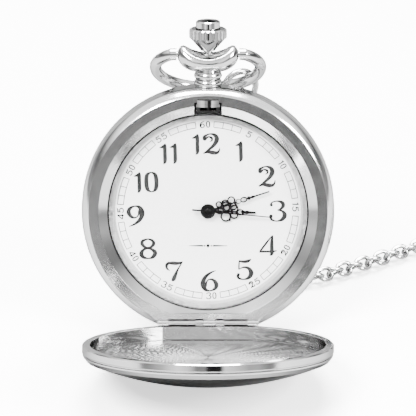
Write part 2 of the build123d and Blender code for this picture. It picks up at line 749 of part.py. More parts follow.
with BuildPart() as main_plate:
    shaft(0, 0, PLATE_BACK, PLATE_TOP, PLATE_R)
    shaft(0, 0, MOTION_FLOOR, PLATE_TOP, 2.8, mode=Mode.SUBTRACT)
    shaft(*MINUTE, MOTION_FLOOR, PLATE_TOP, 2.65, mode=Mode.SUBTRACT)
    shaft(*BATTERY, PLATE_BACK, PLATE_BACK + 0.3, BATTERY_R + 0.1, mode=Mode.SUBTRACT)
    shaft(0, 0, PLATE_BACK, PLATE_TOP, 0.47, mode=Mode.SUBTRACT)
    for post in (THIRD, STEP, ROTOR):
        shaft(*post, PLATE_BACK, PLATE_BACK + 0.35, PIVOT_R + RUNNING, mode=Mode.SUBTRACT)
    shaft(*MINUTE, MOTION_FLOOR, PLATE_TOP - 0.1, 0.25)
    extrude(disc(along_stem(STEM_TIP_U - 0.3), STEM_CORE_R + 0.05), amount=6, mode=Mode.SUBTRACT)
    pinion_u = STEM_TIP_U + 1.1
    extrude(
        block(facing(n=PLATE_BACK), -0.9, 0.9, pinion_u, pinion_u + 1.1),
        amount=PLATE_TOP - PLATE_BACK,
        mode=Mode.SUBTRACT,
    )
    for post in BRIDGE_POSTS:
        shaft(*post, TRAIN_BACK, PLATE_BACK, 0.75)

with BuildPart() as train_bridge:
    with BuildSketch(facing(n=BRIDGE_BACK)):
        with BuildLine():
            Polyline(
                (-6.6, -2.6),
                (-6.2, 1.6),
                (-3.6, 2.9),
                (0.4, 6.2),
                (2.4, 6.2),
                (8.6, 2.8),
                (8.4, 0.6),
                (5.6, -4.9),
                (3.4, -5.0),
                (0.4, -3.4),
                (-4.6, -3.4),
                close=True,
            )
        make_face()
        fillet(vertices(), 0.6)
    extrude(amount=TRAIN_BACK - BRIDGE_BACK)
    shaft(0, 0, BRIDGE_BACK, TRAIN_BACK, SECONDS_R + RUNNING, mode=Mode.SUBTRACT)
    for post in (THIRD, STEP, ROTOR):
        shaft(*post, BRIDGE_BACK, TRAIN_BACK, PIVOT_R + RUNNING, mode=Mode.SUBTRACT)
    for post in BRIDGE_POSTS:
        shaft(*post, BRIDGE_BACK, TRAIN_BACK, 0.4, mode=Mode.SUBTRACT)

with BuildPart() as movement_screws:
    for post in BRIDGE_POSTS:
        shaft(*post, BRIDGE_BACK - 0.25, BRIDGE_BACK, 0.7)
        shaft(*post, BRIDGE_BACK, TRAIN_BACK, 0.4)
        with BuildSketch(facing(*post, BRIDGE_BACK - 0.25)):
            Rectangle(1.4, 0.18)
        extrude(amount=0.12, mode=Mode.SUBTRACT)

# levels of the train, counted from the plate towards the back
centre_n = PLATE_BACK - 0.3
third_n = PLATE_BACK - 0.65
seconds_n = PLATE_BACK - 0.97
HAND = 0.14  # thickness of a hand
HOUR_HAND_N = DIAL_TOP + 0.28
MINUTE_HAND_N = HOUR_HAND_N + 0.34
SECOND_HAND_N = MINUTE_HAND_N + 0.32

with BuildPart() as seconds_wheel:
    wheel(0, 0, seconds_n, 0.2, SECONDS_TEETH, WHEEL_MODULE, heading(CENTRE, STEP))
    wheel(0, 0, third_n - 0.05, 0.3, SECONDS_LEAVES, WHEEL_MODULE, heading(CENTRE, THIRD))
    shaft(0, 0, BRIDGE_BACK, SECOND_HAND_N + HAND, SECONDS_R)

with BuildPart() as third_wheel:
    teeth_gap = heading(THIRD, CENTRE) + 180 / THIRD_TEETH
    wheel(*THIRD, third_n, 0.2, THIRD_TEETH, WHEEL_MODULE, teeth_gap)
    wheel(*THIRD, centre_n - 0.05, 0.3, THIRD_LEAVES, CENTRE_MODULE, heading(THIRD, CENTRE))
    shaft(*THIRD, BRIDGE_BACK + 0.1, PLATE_BACK + 0.3, PIVOT_R)

with BuildPart() as centre_wheel:
    teeth_gap = heading(CENTRE, THIRD) + 180 / CENTRE_TEETH
    wheel(0, 0, centre_n, 0.2, CENTRE_TEETH, CENTRE_MODULE, teeth_gap, SECONDS_R + RUNNING)
    shaft(0, 0, centre_n + 0.2, PLATE_BACK - 0.03, 0.42, SECONDS_R + RUNNING)

with BuildPart() as step_wheel:
    wheel(*STEP, third_n, 0.2, STEP_TEETH, WHEEL_MODULE, heading(STEP, ROTOR))
    teeth_gap = heading(STEP, CENTRE) + 180 / STEP_LEAVES
    wheel(*STEP, seconds_n - 0.05, 0.37, STEP_LEAVES, WHEEL_MODULE, teeth_gap)
    shaft(*STEP, BRIDGE_BACK + 0.1, PLATE_BACK + 0.3, PIVOT_R)

with BuildPart() as rotor:
    teeth_gap = heading(ROTOR, STEP) + 180 / ROTOR_LEAVES
    wheel(*ROTOR, third_n - 0.05, 0.3, ROTOR_LEAVES, WHEEL_MODULE, teeth_gap)
    shaft(*ROTOR, third_n - 0.45, third_n - 0.05, 0.85)
    shaft(*ROTOR, BRIDGE_BACK + 0.1, PLATE_BACK + 0.3, PIVOT_R)

radial = Vector(ROTOR[0], ROTOR[1], 0).normalized()
tangent = Vector(-radial.Y, radial.X, 0)
stator_n = third_n - 0.35
core_n = stator_n - 0.25
coil_spot = (ROTOR[0] + radial.X * 3.3, ROTOR[1] + radial.Y * 3.3)
STATOR = Plane(
    origin=place(*ROTOR, stator_n),
    x_dir=RIGHT * tangent.X + UP * tangent.Y,
    z_dir=OUT,
)  # its x runs beside the coil, its y towards the middle of the watch

with BuildPart() as stator:
    with BuildSketch(STATOR):
        Rectangle(9.4, 3.0)
        with Locations((-4.1, -1.7), (4.1, -1.7)):
            Rectangle(1.2, 4.4)
        Circle(1.15, mode=Mode.SUBTRACT)
    extrude(amount=0.25)

with BuildPart() as coil_core:
    with BuildSketch(STATOR.offset(-0.3)):
        with Locations((0, -3.3)):
            Rectangle(9.4, 0.9)
    extrude(amount=0.3)

with BuildPart() as drive_coil:
    coil_start = STATOR.from_local_coords((-3.2, -3.3, -0.15))
    with BuildSketch(Plane(origin=coil_start, x_dir=OUT, z_dir=STATOR.x_dir)):
        Circle(0.72)
        Rectangle(0.3, 0.9, mode=Mode.SUBTRACT)
    extrude(amount=6.4)

BATTERY_BACK = BRIDGE_BACK + 0.05
with BuildPart() as battery_cell:
    shaft(*BATTERY, BATTERY_BACK + 0.15, PLATE_BACK + 0.3, BATTERY_R)
    shaft(*BATTERY, BATTERY_BACK, BATTERY_BACK + 0.15, BATTERY_R - 0.5)

with BuildPart() as battery_strap:
    with BuildSketch(facing(*BATTERY, BATTERY_BACK - 0.15)):
        Rectangle(7.6, 1.5)
    extrude(amount=0.15)

with BuildPart() as circuit_board:
    with BuildSketch(facing(*BOARD_CENTRE, TRAIN_BACK)):
        RectangleRounded(8.4, 4.4, 0.8)
    extrude(amount=0.25)
    with BuildSketch(facing(*BOARD_CENTRE, TRAIN_BACK - 0.3)):
        with Locations((-2, 0.3)):
            Circle(1.2)
    extrude(amount=0.3)

with BuildPart() as quartz_can:
    can_start = place(BOARD_CENTRE[0] - 2.4, BOARD_CENTRE[1] - 1.0, TRAIN_BACK + 0.25 + 0.4)
    with BuildSketch(Plane(origin=can_start, x_dir=OUT, z_dir=RIGHT)):
        Circle(0.4)
    extrude(amount=4.8)

# ---------------------------------------------------------------- motion work, setting and hands

CANNON_R = 0.4
HOUR_TUBE_R = 0.68
hour_n = PLATE_TOP - 0.42
cannon_n = PLATE_TOP - 0.72

with BuildPart() as cannon_pinion:
    wheel(0, 0, cannon_n, 0.28, CANNON_LEAVES, CANNON_MODULE, heading(CENTRE, MINUTE), SECONDS_R + RUNNING)
    shaft(0, 0, PLATE_BACK, MINUTE_HAND_N + HAND, CANNON_R, SECONDS_R + RUNNING)

with BuildPart() as minute_wheel:
    teeth_gap = heading(MINUTE, CENTRE) + 180 / MINUTE_TEETH
    wheel(*MINUTE, cannon_n + 0.02, 0.22, MINUTE_TEETH, CANNON_MODULE, teeth_gap, 0.25 + RUNNING)
    leaf_at = heading(MINUTE, CENTRE)
    wheel(*MINUTE, cannon_n + 0.24, 0.3, MINUTE_LEAVES, HOUR_MODULE, leaf_at, 0.25 + RUNNING)

with BuildPart() as hour_wheel:
    teeth_gap = heading(CENTRE, MINUTE) + 180 / HOUR_TEETH
    wheel(0, 0, hour_n, 0.22, HOUR_TEETH, HOUR_MODULE, teeth_gap, CANNON_R + RUNNING)
    shaft(0, 0, hour_n, HOUR_HAND_N + HAND, HOUR_TUBE_R, CANNON_R + RUNNING)

with BuildPart() as setting_pinion:
    pinion_plane = along_stem(STEM_TIP_U + 1.2)
    extrude(toothed(pinion_plane, 12, 0.105, 0, STEM_CORE_R), amount=0.9)

with BuildPart() as setting_lever:
    with BuildSketch(facing(0, STEM_TIP_U + 0.6, PLATE_BACK - 0.3)):
        with Locations((0.9, 0)):
            Rectangle(2.6, 0.45)
        with Locations((2.1, 0.9)):
            Rectangle(0.5, 2.2)
    extrude(amount=0.3)


def hand_plane(clock_degrees, level):
    """A plane on the dial whose y points at an angle counted clockwise from 12."""
    turn = radians(clock_degrees)
    across = RIGHT * cos(turn) - UP * sin(turn)
    return Plane(origin=place(0, 0, level), x_dir=across, z_dir=OUT)


HOUR_ANGLE = 92.5
MINUTE_ANGLE = 72.0
SECOND_ANGLE = 95.5
HOUR_REACH = 8.9
MINUTE_REACH = 12.0
SECOND_REACH = 11.9


def openwork(plane, bore, boss, loops, reach, tip_width):
    """A pierced hand: a boss, a chain of ring-shaped loops and a slim tip."""
    with BuildSketch(plane) as face:
        Circle(boss)
        with Locations((0, reach * 0.5)):
            Rectangle(0.34, reach * 0.9)
        for middle, radius in loops:
            with Locations((0, middle)):
                Circle(radius)
                Circle(radius - 0.27, mode=Mode.SUBTRACT)
        with BuildLine():
            last = loops[-1][0]
            Polyline((-tip_width, last), (0, reach), (tip_width, last), close=True)
        make_face()
        Circle(bore, mode=Mode.SUBTRACT)
    return face.sketch


with BuildPart() as hour_hand:
    extrude(
        openwork(
            hand_plane(HOUR_ANGLE, HOUR_HAND_N),
            HOUR_TUBE_R,
            1.25,
            [(2.6, 1.1), (4.6, 1.2), (6.1, 0.75)],
            HOUR_REACH,
            0.42,
        ),
        amount=HAND,
    )

with BuildPart() as minute_hand:
    extrude(
        openwork(
            hand_plane(MINUTE_ANGLE, MINUTE_HAND_N),
            CANNON_R,
            1.05,
            [(2.5, 0.8), (4.4, 1.05), (6.2, 0.7), (7.6, 0.55)],
            MINUTE_REACH,
            0.34,
        ),
        amount=HAND,
    )

with BuildPart() as second_hand:
    with BuildSketch(hand_plane(SECOND_ANGLE, SECOND_HAND_N)):
        Circle(0.75)
        with BuildLine():
            Polyline((-0.22, -3.0), (-0.06, SECOND_REACH), (0.06, SECOND_REACH), (0.22, -3.0), close=True)
        make_face()
        Circle(SECONDS_R, mode=Mode.SUBTRACT)
    extrude(amount=HAND)

# ---------------------------------------------------------------- ring clasp and chain

WIRE_TURN = radians(53)  # where the ring hangs, round the far half of the bow
ring_top = BOW.from_local_coords(
    (BOW_HALF_WIDTH * cos(WIRE_TURN), BOW_WIDEST + (BOW_LENGTH - BOW_WIDEST) * sin(WIRE_TURN), 0)
)
RING_FACE = Vector(0.45, -0.893, 0).normalized()
ring_hang = RING_MEAN_R - RING_WIRE_R - BOW_WIRE_R - 0.7
RING_CENTRE = ring_top - Vector(0, 0, ring_hang)
RING_SIDE = RING_FACE.cross(Vector(0, 0, 1))
RING = Plane(origin=RING_CENTRE, x_dir=RING_SIDE, z_dir=RING_FACE)  # its y points down
with BuildPart() as clasp_ring:
    with BuildLine(RING) as ring_line:
        CenterArc((0, 0), RING_MEAN_R, 0, 360)
    with BuildSketch(Plane(origin=ring_line.line @ 0, z_dir=ring_line.line % 0)):
        Circle(RING_WIRE_R)
    sweep(path=ring_line.line)

down = Vector(0, 0, -1)
EYE_MEAN_R = 1.1
EYE_WIRE_R = 0.4
EYE_DROP = RING_MEAN_R + RING_WIRE_R + EYE_MEAN_R + EYE_WIRE_R + 0.3
EYE_CENTRE = RING_CENTRE + down * EYE_DROP
with BuildPart() as clasp_swivel:
    with BuildSketch(Plane(origin=EYE_CENTRE + RING_FACE * EYE_MEAN_R, x_dir=RING_FACE, z_dir=down)):
        Circle(EYE_WIRE_R)
    revolve(axis=Axis(EYE_CENTRE, RING_SIDE))
    neck_top = RING_CENTRE + down * (RING_MEAN_R + RING_WIRE_R - 0.02)
    with BuildSketch(Plane(origin=neck_top, x_dir=RING_SIDE, z_dir=down)):
        Circle(0.55)
    extrude(amount=0.5)

print("lean", round(degrees(LEAN), 2), "seat centre", SEAT_CENTRE, "ring centre", RING_CENTRE)
floor_line = CHAIN_D / 2
tube_start = EYE_CENTRE + down * (EYE_MEAN_R + EYE_WIRE_R)
print("tube start", tube_start)
ROUTE_DROP = [
    (tube_start.X, tube_start.Y, tube_start.Z),
    (5.9, 31.95, 24.0),
    (6.8, 31.7, 12.6),
    (10.2, 30.6, 5.2),
    (18.0, 29.6, floor_line),
]
ROUTE_FLOOR = [
    ROUTE_DROP[-2],
    ROUTE_DROP[-1],
    (25.6, 34.0, floor_line),
    (33.4, 38.9, floor_line),
    (44.2, 46.4, floor_line),
    (53.6, 52.4, floor_line),
]


def bend_radii(route):
    """The arc at each inner point, as large as its two runs allow."""
    radii = []
    points = [Vector(*point) for point in route]
    for before, corner, after in zip(points, points[1:], points[2:]):
        run_in = corner - before
        run_out = after - corner
        turn = radians(run_in.get_angle(run_out))
        radii.append(0.45 * min(run_in.length, run_out.length) / tan(turn / 2))
    return radii


def chain_tube(route, name):
    """A plain tube through the route's points."""
    radii = bend_radii(route)
    with BuildPart() as tube:
        with BuildLine() as path:
            FilletPolyline(*route, radius=radii)
        wire = path.wire()
        with BuildSketch(Plane(origin=wire @ 0, z_dir=wire % 0)):
            Circle(CHAIN_D / 2)
        sweep(path=wire)
    expected = pi * (CHAIN_D / 2) ** 2 * wire.length
    print(name, "radii", [round(r, 1) for r in radii], "length", round(wire.length, 1))
    print(name, "volume over section times length", round(tube.part.volume / expected, 4))
    return tube.part


whole_route = ROUTE_DROP + ROUTE_FLOOR[2:]
with BuildPart() as chain_tube_run:
    add(chain_tube(whole_route, "chain"))

entry = Vector(*whole_route[-1])
entry_way = (entry - Vector(*whole_route[-2])).normalized()
outer_turn = COIL_MEAN_R + CHAIN_D / 2
coil_middle = entry + Vector(entry_way.Y, -entry_way.X, 0) * outer_turn
COIL_CENTRE = Vector(coil_middle.X, coil_middle.Y, 0)
with BuildPart() as chain_coil:
    with BuildSketch(Plane(origin=COIL_CENTRE)):
        Circle(COIL_MEAN_R + CHAIN_D)
        Circle(COIL_MEAN_R - CHAIN_D, mode=Mode.SUBTRACT)
    extrude(amount=CHAIN_D)
    chamfer(chain_coil.edges(), 0.7)
    add(chain_tube_run.part, mode=Mode.SUBTRACT)

TBAR_CENTRE = COIL_CENTRE + Vector(-1.5, 1.0, TBAR_KNOB_R)
tbar_way = Vector(0.8, 0.6, 0)
tbar_side = Vector(-0.6, 0.8, 0)
knob_at = TBAR_LENGTH / 2 - TBAR_KNOB_R
with BuildPart() as t_bar:
    with BuildSketch(Plane(origin=TBAR_CENTRE - tbar_way * knob_at, z_dir=tbar_way)):
        Circle(TBAR_R)
    extrude(amount=2 * knob_at)
    with BuildSketch(Plane(origin=TBAR_CENTRE - tbar_way * TBAR_COLLAR, z_dir=tbar_way)):
        Circle(TBAR_KNOB_R)
    extrude(amount=2 * TBAR_COLLAR)
    for side in (-1, 1):
        with Locations(TBAR_CENTRE + tbar_way * side * knob_at):
            Sphere(TBAR_KNOB_R)
    with BuildSketch(Plane(origin=TBAR_CENTRE + tbar_side * 3.3, x_dir=tbar_side, z_dir=Vector(0, 0, 1))):
        Circle(EYE_WIRE_R)
    revolve(axis=Axis(TBAR_CENTRE + tbar_side * 2.2, tbar_way))

# ---------------------------------------------------------------- files

PIECES = {
    "case_middle": case_middle,
    "front_bezel": front_bezel,
    "crystal": crystal,
    "crystal_gasket": crystal_gasket,
    "flange_ring": flange_ring,
    "dial": dial,
    "case_back": case_back,
    "back_gasket": back_gasket,
    "lid_shell": lid_shell,
    "lid_liner": lid_liner,
    "hinge_pin": hinge_pin,
    "pendant_tube": pendant_tube,
    "neck_collars": neck_collars,
    "pendant": pendant,
    "crown": crown,
    "winding_stem": winding_stem,
    "crown_button": crown_button,
    "button_spring": button_spring,
    "bow": bow,
    "lid_catch": lid_catch,
    "catch_spring": catch_spring,
    "movement_ring": movement_ring,
    "main_plate": main_plate,
    "train_bridge": train_bridge,
    "movement_screws": movement_screws,
    "seconds_wheel": seconds_wheel,
    "third_wheel": third_wheel,
    "centre_wheel": centre_wheel,
    "step_wheel": step_wheel,
    "rotor": rotor,
    "stator": stator,
    "coil_core": coil_core,
    "drive_coil": drive_coil,
    "battery_cell": battery_cell,
    "battery_strap": battery_strap,
    "circuit_board": circuit_board,
    "quartz_can": quartz_can,
    "cannon_pinion": cannon_pinion,
    "minute_wheel": minute_wheel,
    "hour_wheel": hour_wheel,
    "setting_pinion": setting_pinion,
    "setting_lever": setting_lever,
    "hour_hand": hour_hand,
    "minute_hand": minute_hand,
    "second_hand": second_hand,
    "clasp_ring": clasp_ring,
    "clasp_swivel": clasp_swivel,
    "chain_run": chain_tube_run,
    "chain_coil": chain_coil,
    "t_bar": t_bar,
}
for name, piece in PIECES.items():
    piece.part.label = name
    export_step(piece.part, f"parts/{name}.step")
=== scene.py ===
"""Hunter pocket watch, open on its lid: materials, dial print, hands, engine turning, chain, studio."""

from math import atan2, cos, hypot, pi, radians, sin

import bpy
from mathutils import Matrix, Vector


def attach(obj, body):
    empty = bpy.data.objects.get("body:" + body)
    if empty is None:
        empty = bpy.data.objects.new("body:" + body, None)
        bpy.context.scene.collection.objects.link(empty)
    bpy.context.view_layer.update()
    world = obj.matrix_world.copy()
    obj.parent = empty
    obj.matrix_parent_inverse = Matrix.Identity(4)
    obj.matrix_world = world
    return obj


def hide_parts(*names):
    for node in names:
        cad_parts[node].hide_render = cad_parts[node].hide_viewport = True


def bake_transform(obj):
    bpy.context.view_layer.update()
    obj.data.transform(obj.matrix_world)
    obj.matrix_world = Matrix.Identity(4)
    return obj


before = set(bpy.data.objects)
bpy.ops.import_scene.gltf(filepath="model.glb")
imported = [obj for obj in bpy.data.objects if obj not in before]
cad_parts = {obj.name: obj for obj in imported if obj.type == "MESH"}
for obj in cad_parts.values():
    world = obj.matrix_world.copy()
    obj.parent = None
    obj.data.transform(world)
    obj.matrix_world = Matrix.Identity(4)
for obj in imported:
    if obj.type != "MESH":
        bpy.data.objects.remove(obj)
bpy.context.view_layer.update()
MM = 0.001
MICRON = 0.000001

# ---------------------------------------------------------------- where the watch stands (millimetres)

LEAN = radians(14.949682)
SEAT_CENTRE = Vector((0, 13.07712, 24.24482))
UP = Vector((0, sin(LEAN), cos(LEAN)))
OUT = Vector((0, -cos(LEAN), sin(LEAN)))
RIGHT = Vector((1, 0, 0))
LID_OPEN = radians(86)
HINGE_U = 20.97
HINGE_DROP = 0.6
LID_AWAY = UP * cos(LID_OPEN) + OUT * sin(LID_OPEN)
LID_OUT = OUT * cos(LID_OPEN) - UP * sin(LID_OPEN)
HINGE = SEAT_CENTRE - UP * HINGE_U - OUT * HINGE_DROP
LID_CENTRE = HINGE + LID_AWAY * HINGE_U + LID_OUT * HINGE_DROP
DIAL_TOP = -2.77
HOURS_LEVEL = DIAL_TOP + 0.28
MINUTES_LEVEL = DIAL_TOP + 0.62
SECONDS_LEVEL = DIAL_TOP + 0.94
HAND = 0.14


def place(x, u, n):
    """The point at x, u, n on the watch, in metres."""
    return (SEAT_CENTRE + RIGHT * x + UP * u + OUT * n) * MM


def watch_matrix(n=0.0):
    """Local x, y, z in millimetres become x, u, n on the watch."""
    axes = Matrix((RIGHT, UP, OUT)).transposed().to_4x4()
    return Matrix.Translation(place(0, 0, n)) @ axes @ Matrix.Scale(MM, 4)


def lid_matrix(z=0.0):
    """Local z runs out of the lid, local y away from its hinge."""
    axes = Matrix((RIGHT, LID_OUT.cross(RIGHT), LID_OUT)).transposed().to_4x4()
    return Matrix.Translation((LID_CENTRE + LID_OUT * z) * MM) @ axes @ Matrix.Scale(MM, 4)


# ---------------------------------------------------------------- materials


def material(name, **values):
    """A principled material; values are socket names with _ for spaces."""
    mat = bpy.data.materials.new(name)
    mat.use_nodes = True
    shader = mat.node_tree.nodes["Principled BSDF"]
    for key, value in values.items():
        shader.inputs[key.replace("_", " ")].default_value = value
    return mat, mat.node_tree, shader


def grey(value):
    """An opaque grey."""
    return (value, value, value, 1.0)


def noise(tree, scale, detail=3.0, stretch=(1, 1, 1)):
    """Object-space noise, stretched along an axis if asked."""
    coords = tree.nodes.new("ShaderNodeTexCoord")
    mapping = tree.nodes.new("ShaderNodeMapping")
    mapping.inputs["Scale"].default_value = stretch
    texture = tree.nodes.new("ShaderNodeTexNoise")
    texture.inputs["Scale"].default_value = scale
    texture.inputs["Detail"].default_value = detail
    tree.links.new(coords.outputs["Object"], mapping.inputs["Vector"])
    tree.links.new(mapping.outputs["Vector"], texture.inputs["Vector"])
    return texture


def ranged(tree, source, low, high, start=0.3, end=0.7):
    """Map an output's start..end onto low..high; noise mostly lies from 0.3 to 0.7."""
    node = tree.nodes.new("ShaderNodeMapRange")
    node.inputs["From Min"].default_value = start
    node.inputs["From Max"].default_value = end
    node.inputs["To Min"].default_value = low
    node.inputs["To Max"].default_value = high
    tree.links.new(source, node.inputs["Value"])
    return node.outputs["Result"]


def mixed(tree, source, dark, light):
    """A colour ramp between two greys or colours."""
    node = tree.nodes.new("ShaderNodeValToRGB")
    node.color_ramp.elements[0].position = 0.32
    node.color_ramp.elements[1].position = 0.68
    node.color_ramp.elements[0].color = dark
    node.color_ramp.elements[1].color = light
    tree.links.new(source, node.inputs["Fac"])
    return node.outputs["Color"]


def blended(tree, factor, first, second, how="MIX"):
    """Two colours mixed by a factor; each is an output or a plain colour."""
    node = tree.nodes.new("ShaderNodeMix")
    node.data_type = "RGBA"
    node.blend_type = how
    tree.links.new(factor, node.inputs["Factor"])
    for name, colour in (("A", first), ("B", second)):
        if isinstance(colour, tuple):
            node.inputs[name].default_value = colour
        else:
            tree.links.new(colour, node.inputs[name])
    return node.outputs["Result"]


def bumped(tree, shader, source, height, strength):
    """Fine relief, height in metres."""
    node = tree.nodes.new("ShaderNodeBump")
    node.inputs["Strength"].default_value = strength
    node.inputs["Distance"].default_value = height
    tree.links.new(source, node.inputs["Height"])
    tree.links.new(node.outputs["Normal"], shader.inputs["Normal"])


CLOUD_SCALE = 140


def metal(name, shade, rough, grain=900, stretch=(1, 1, 1), microns=2, tint=(1, 1, 1)):
    """Plated metal: faint cloudiness in colour, polishing marks in gloss and relief."""
    mat, tree, shader = material(name, Metallic=1.0, Specular_Tint=grey(0.3))
    cloud = noise(tree, CLOUD_SCALE, 4)
    fine = noise(tree, grain, 5, stretch)
    dark = tuple(shade * 0.93 * t for t in tint) + (1,)
    light = tuple(min(1, shade * 1.03) * t for t in tint) + (1,)
    tree.links.new(mixed(tree, cloud.outputs["Fac"], dark, light), shader.inputs["Base Color"])
    gloss = ranged(tree, fine.outputs["Fac"], rough * 0.92, rough * 1.1)
    tree.links.new(gloss, shader.inputs["Roughness"])
    bumped(tree, shader, fine.outputs["Fac"], microns * MICRON, 0.2)
    return mat


# Normal heights where the painted dark reflection on undersides begins and where it is full.
NEARLY_LEVEL, FACING_DOWN = -0.08, -0.5


def grounded(mat):
    """Painted reflection and shade: chrome facing the ground gets a dim, streaky base colour that stands in
    for the shaded table it reflects.
    """
    tree = mat.node_tree
    shader = tree.nodes["Principled BSDF"]
    plain = shader.inputs["Base Color"].links[0].from_socket
    streaks = noise(tree, 55, 4, (0.6, 1.2, 4))
    # Painted reflection: dark streaky greys standing in for the shaded table.
    painted_dark_reflection = mixed(tree, streaks.outputs["Fac"], grey(0.03), grey(0.30))
    facing = tree.nodes.new("ShaderNodeNewGeometry")
    split = tree.nodes.new("ShaderNodeSeparateXYZ")
    tree.links.new(facing.outputs["Normal"], split.inputs["Vector"])
    painted_reflection_mask = ranged(tree, split.outputs["Z"], 0, 1, NEARLY_LEVEL, FACING_DOWN)
    tree.links.new(blended(tree, painted_reflection_mask, plain, painted_dark_reflection), shader.inputs["Base Color"])
    return mat


CHROME = metal("polished_chrome", 0.60, 0.08)
# The lid's chrome has painted dark reflection and shade on its underside.
CHROME_LID_PAINTED_UNDERSIDE = grounded(metal("lid_chrome_painted_underside", 0.60, 0.08))
CHROME_EDGE = metal("chrome_band", 0.68, 0.15)
LINER = metal("engine_turned_liner", 0.66, 0.2, 5000)
STEEL = metal("plain_steel", 0.55, 0.22, 1200)
BRASS = metal("turned_brass", 0.8, 0.2, 1500, tint=(1.0, 0.78, 0.42))
COPPER = metal("copper_winding", 0.75, 0.3, 2500, (1, 1, 8), 6, (1.0, 0.5, 0.3))
CHAIN = metal("chain_chrome", 0.5, 0.10, 1200)


def painted(name, dark, light, rough, grain, microns, **extra):
    """Paint, print, rubber or plastic, with a fine grain in colour, gloss and relief."""
    mat, tree, shader = material(name, **extra)
    spots = noise(tree, grain, 4)
    tree.links.new(mixed(tree, spots.outputs["Fac"], dark, light), shader.inputs["Base Color"])
    gloss = ranged(tree, spots.outputs["Fac"], rough * 0.8, rough * 1.25)
    tree.links.new(gloss, shader.inputs["Roughness"])
    bumped(tree, shader, spots.outputs["Fac"], microns * MICRON, 0.3)
    return mat


DIAL_WHITE = painted("dial_satin_white", grey(0.62), grey(0.66), 0.45, 2600, 3, Specular_IOR_Level=0.3)
RING_WHITE = painted("flange_paint", grey(0.34), grey(0.40), 0.35, 2600, 3, Metallic=0.2)
PRINT = painted("dial_print", grey(0.008), grey(0.014), 0.5, 3000, 2, Specular_IOR_Level=0.1)
PRINT_FINE = painted("dial_print_fine", grey(0.001), grey(0.003), 0.5, 3000, 1, Specular_IOR_Level=0.03)
LACQUER = painted("hand_lacquer", grey(0.001), grey(0.002), 0.3, 1800, 1, Specular_IOR_Level=0.05)
# Black rubber for the back gasket; the same black is the painted shade in the crystal's gap and the catch
# recess.
RUBBER_AND_PAINTED_SHADE = painted("gasket_rubber_and_painted_shade", grey(0.002), grey(0.004), 0.6, 1500, 5, Specular_IOR_Level=0.1)
PLASTIC = painted("holder_plastic", grey(0.7), grey(0.76), 0.45, 900, 6)
MAGNET = painted("bonded_magnet", grey(0.04), grey(0.07), 0.5, 1600, 5)
BOARD = painted("circuit_board", (0.01, 0.12, 0.05, 1), (0.015, 0.16, 0.07, 1), 0.35, 1300, 5)

GLASS, glass_tree, glass_shader = material("crystal_glass", Base_Color=grey(0.02), IOR=1.5, Alpha=0.012)
smudge = noise(glass_tree, 90, 3)
glass_gloss = ranged(glass_tree, smudge.outputs["Fac"], 0.015, 0.05)
glass_tree.links.new(glass_gloss, glass_shader.inputs["Roughness"])

FINISH = {
    CHROME_LID_PAINTED_UNDERSIDE: "lid_shell",
    CHROME: "case_back pendant crown_button bow hinge_pin front_bezel lid_catch neck_collars crown",
    CHROME_EDGE: "case_middle",
    RING_WHITE: "flange_ring crystal_gasket",
    LINER: "lid_liner",
    GLASS: "crystal",
    DIAL_WHITE: "dial",
    RUBBER_AND_PAINTED_SHADE: "back_gasket",
    LACQUER: "hour_hand minute_hand second_hand",
    PLASTIC: "movement_ring",
    MAGNET: "rotor",
    BOARD: "circuit_board",
    COPPER: "drive_coil",
    BRASS: "main_plate seconds_wheel third_wheel centre_wheel step_wheel"
    " cannon_pinion minute_wheel hour_wheel",
    STEEL: "pendant_tube winding_stem button_spring catch_spring train_bridge movement_screws"
    " stator coil_core battery_cell battery_strap quartz_can setting_pinion setting_lever",
    CHAIN: "clasp_ring clasp_swivel chain_run chain_coil t_bar",
}
for finish, names in FINISH.items():
    for node in names.split():
        for holder in bpy.data.objects[node].material_slots:
            holder.material = finish


# ---------------------------------------------------------------- meshes


def piece(name, verts, faces, mat, matrix, body, smooth=False):
    """A mesh that rides on a body and is in a material slot."""
    mesh = bpy.data.meshes.new(name)
    mesh.from_pydata([tuple(v) for v in verts], [], faces)
    mesh.transform(matrix)
    mesh.materials.append(mat)
    if smooth:
        mesh.polygons.foreach_set("use_smooth", [True] * len(mesh.polygons))
    mesh.update()
    obj = bpy.data.objects.new(name, mesh)
    bpy.context.scene.collection.objects.link(obj)
    if body:
        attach(obj, body)
    return obj


def turned(rings, sides=72):
    """A closed solid of revolution about n; rings are (radius, height) from pole to pole."""
    verts, faces = [], []
    for radius, height in rings:
        for i in range(sides):
            angle = 2 * pi * i / sides
            verts.append((radius * cos(angle), radius * sin(angle), height))
    for k in range(len(rings) - 1):
        for i in range(sides):
            j = (i + 1) % sides
            faces.append((k * sides + i, (k + 1) * sides + i, (k + 1) * sides + j, k * sides + j))
    faces.append(tuple(range(sides)))
    faces.append(tuple((len(rings) - 1) * sides + i for i in reversed(range(sides))))
    return verts, faces


def slab(verts, faces, low, high):
    """Add a closed box to a mesh."""
    start = len(verts)
    for x in (low[0], high[0]):
        for y in (low[1], high[1]):
            for z in (low[2], high[2]):
                verts.append((x, y, z))
    for face in ((0, 1, 3, 2), (4, 6, 7, 5), (0, 4, 5, 1), (2, 3, 7, 6), (0, 2, 6, 4), (1, 5, 7, 3)):
        faces.append(tuple(start + i for i in face))


def between(p, q, r, s, t):
    """Catmull-Rom from q to r, at t from 0 to 1."""
    square = (2 * p - 5 * q + 4 * r - s) * t**2
    cube = (3 * q - p - 3 * r + s) * t**3
    return 0.5 * (2 * q + (r - p) * t + square + cube)


def spline(points, steps=8):
    """A smooth line through (x, y, half width) points."""
    ends = [points[0]] + list(points) + [points[-1]]
    out = []
    for four in zip(ends, ends[1:], ends[2:], ends[3:]):
        for i in range(steps):
            out.append(tuple(between(*values, i / steps) for values in zip(*four)))
    out.append(tuple(points[-1]))
    return out


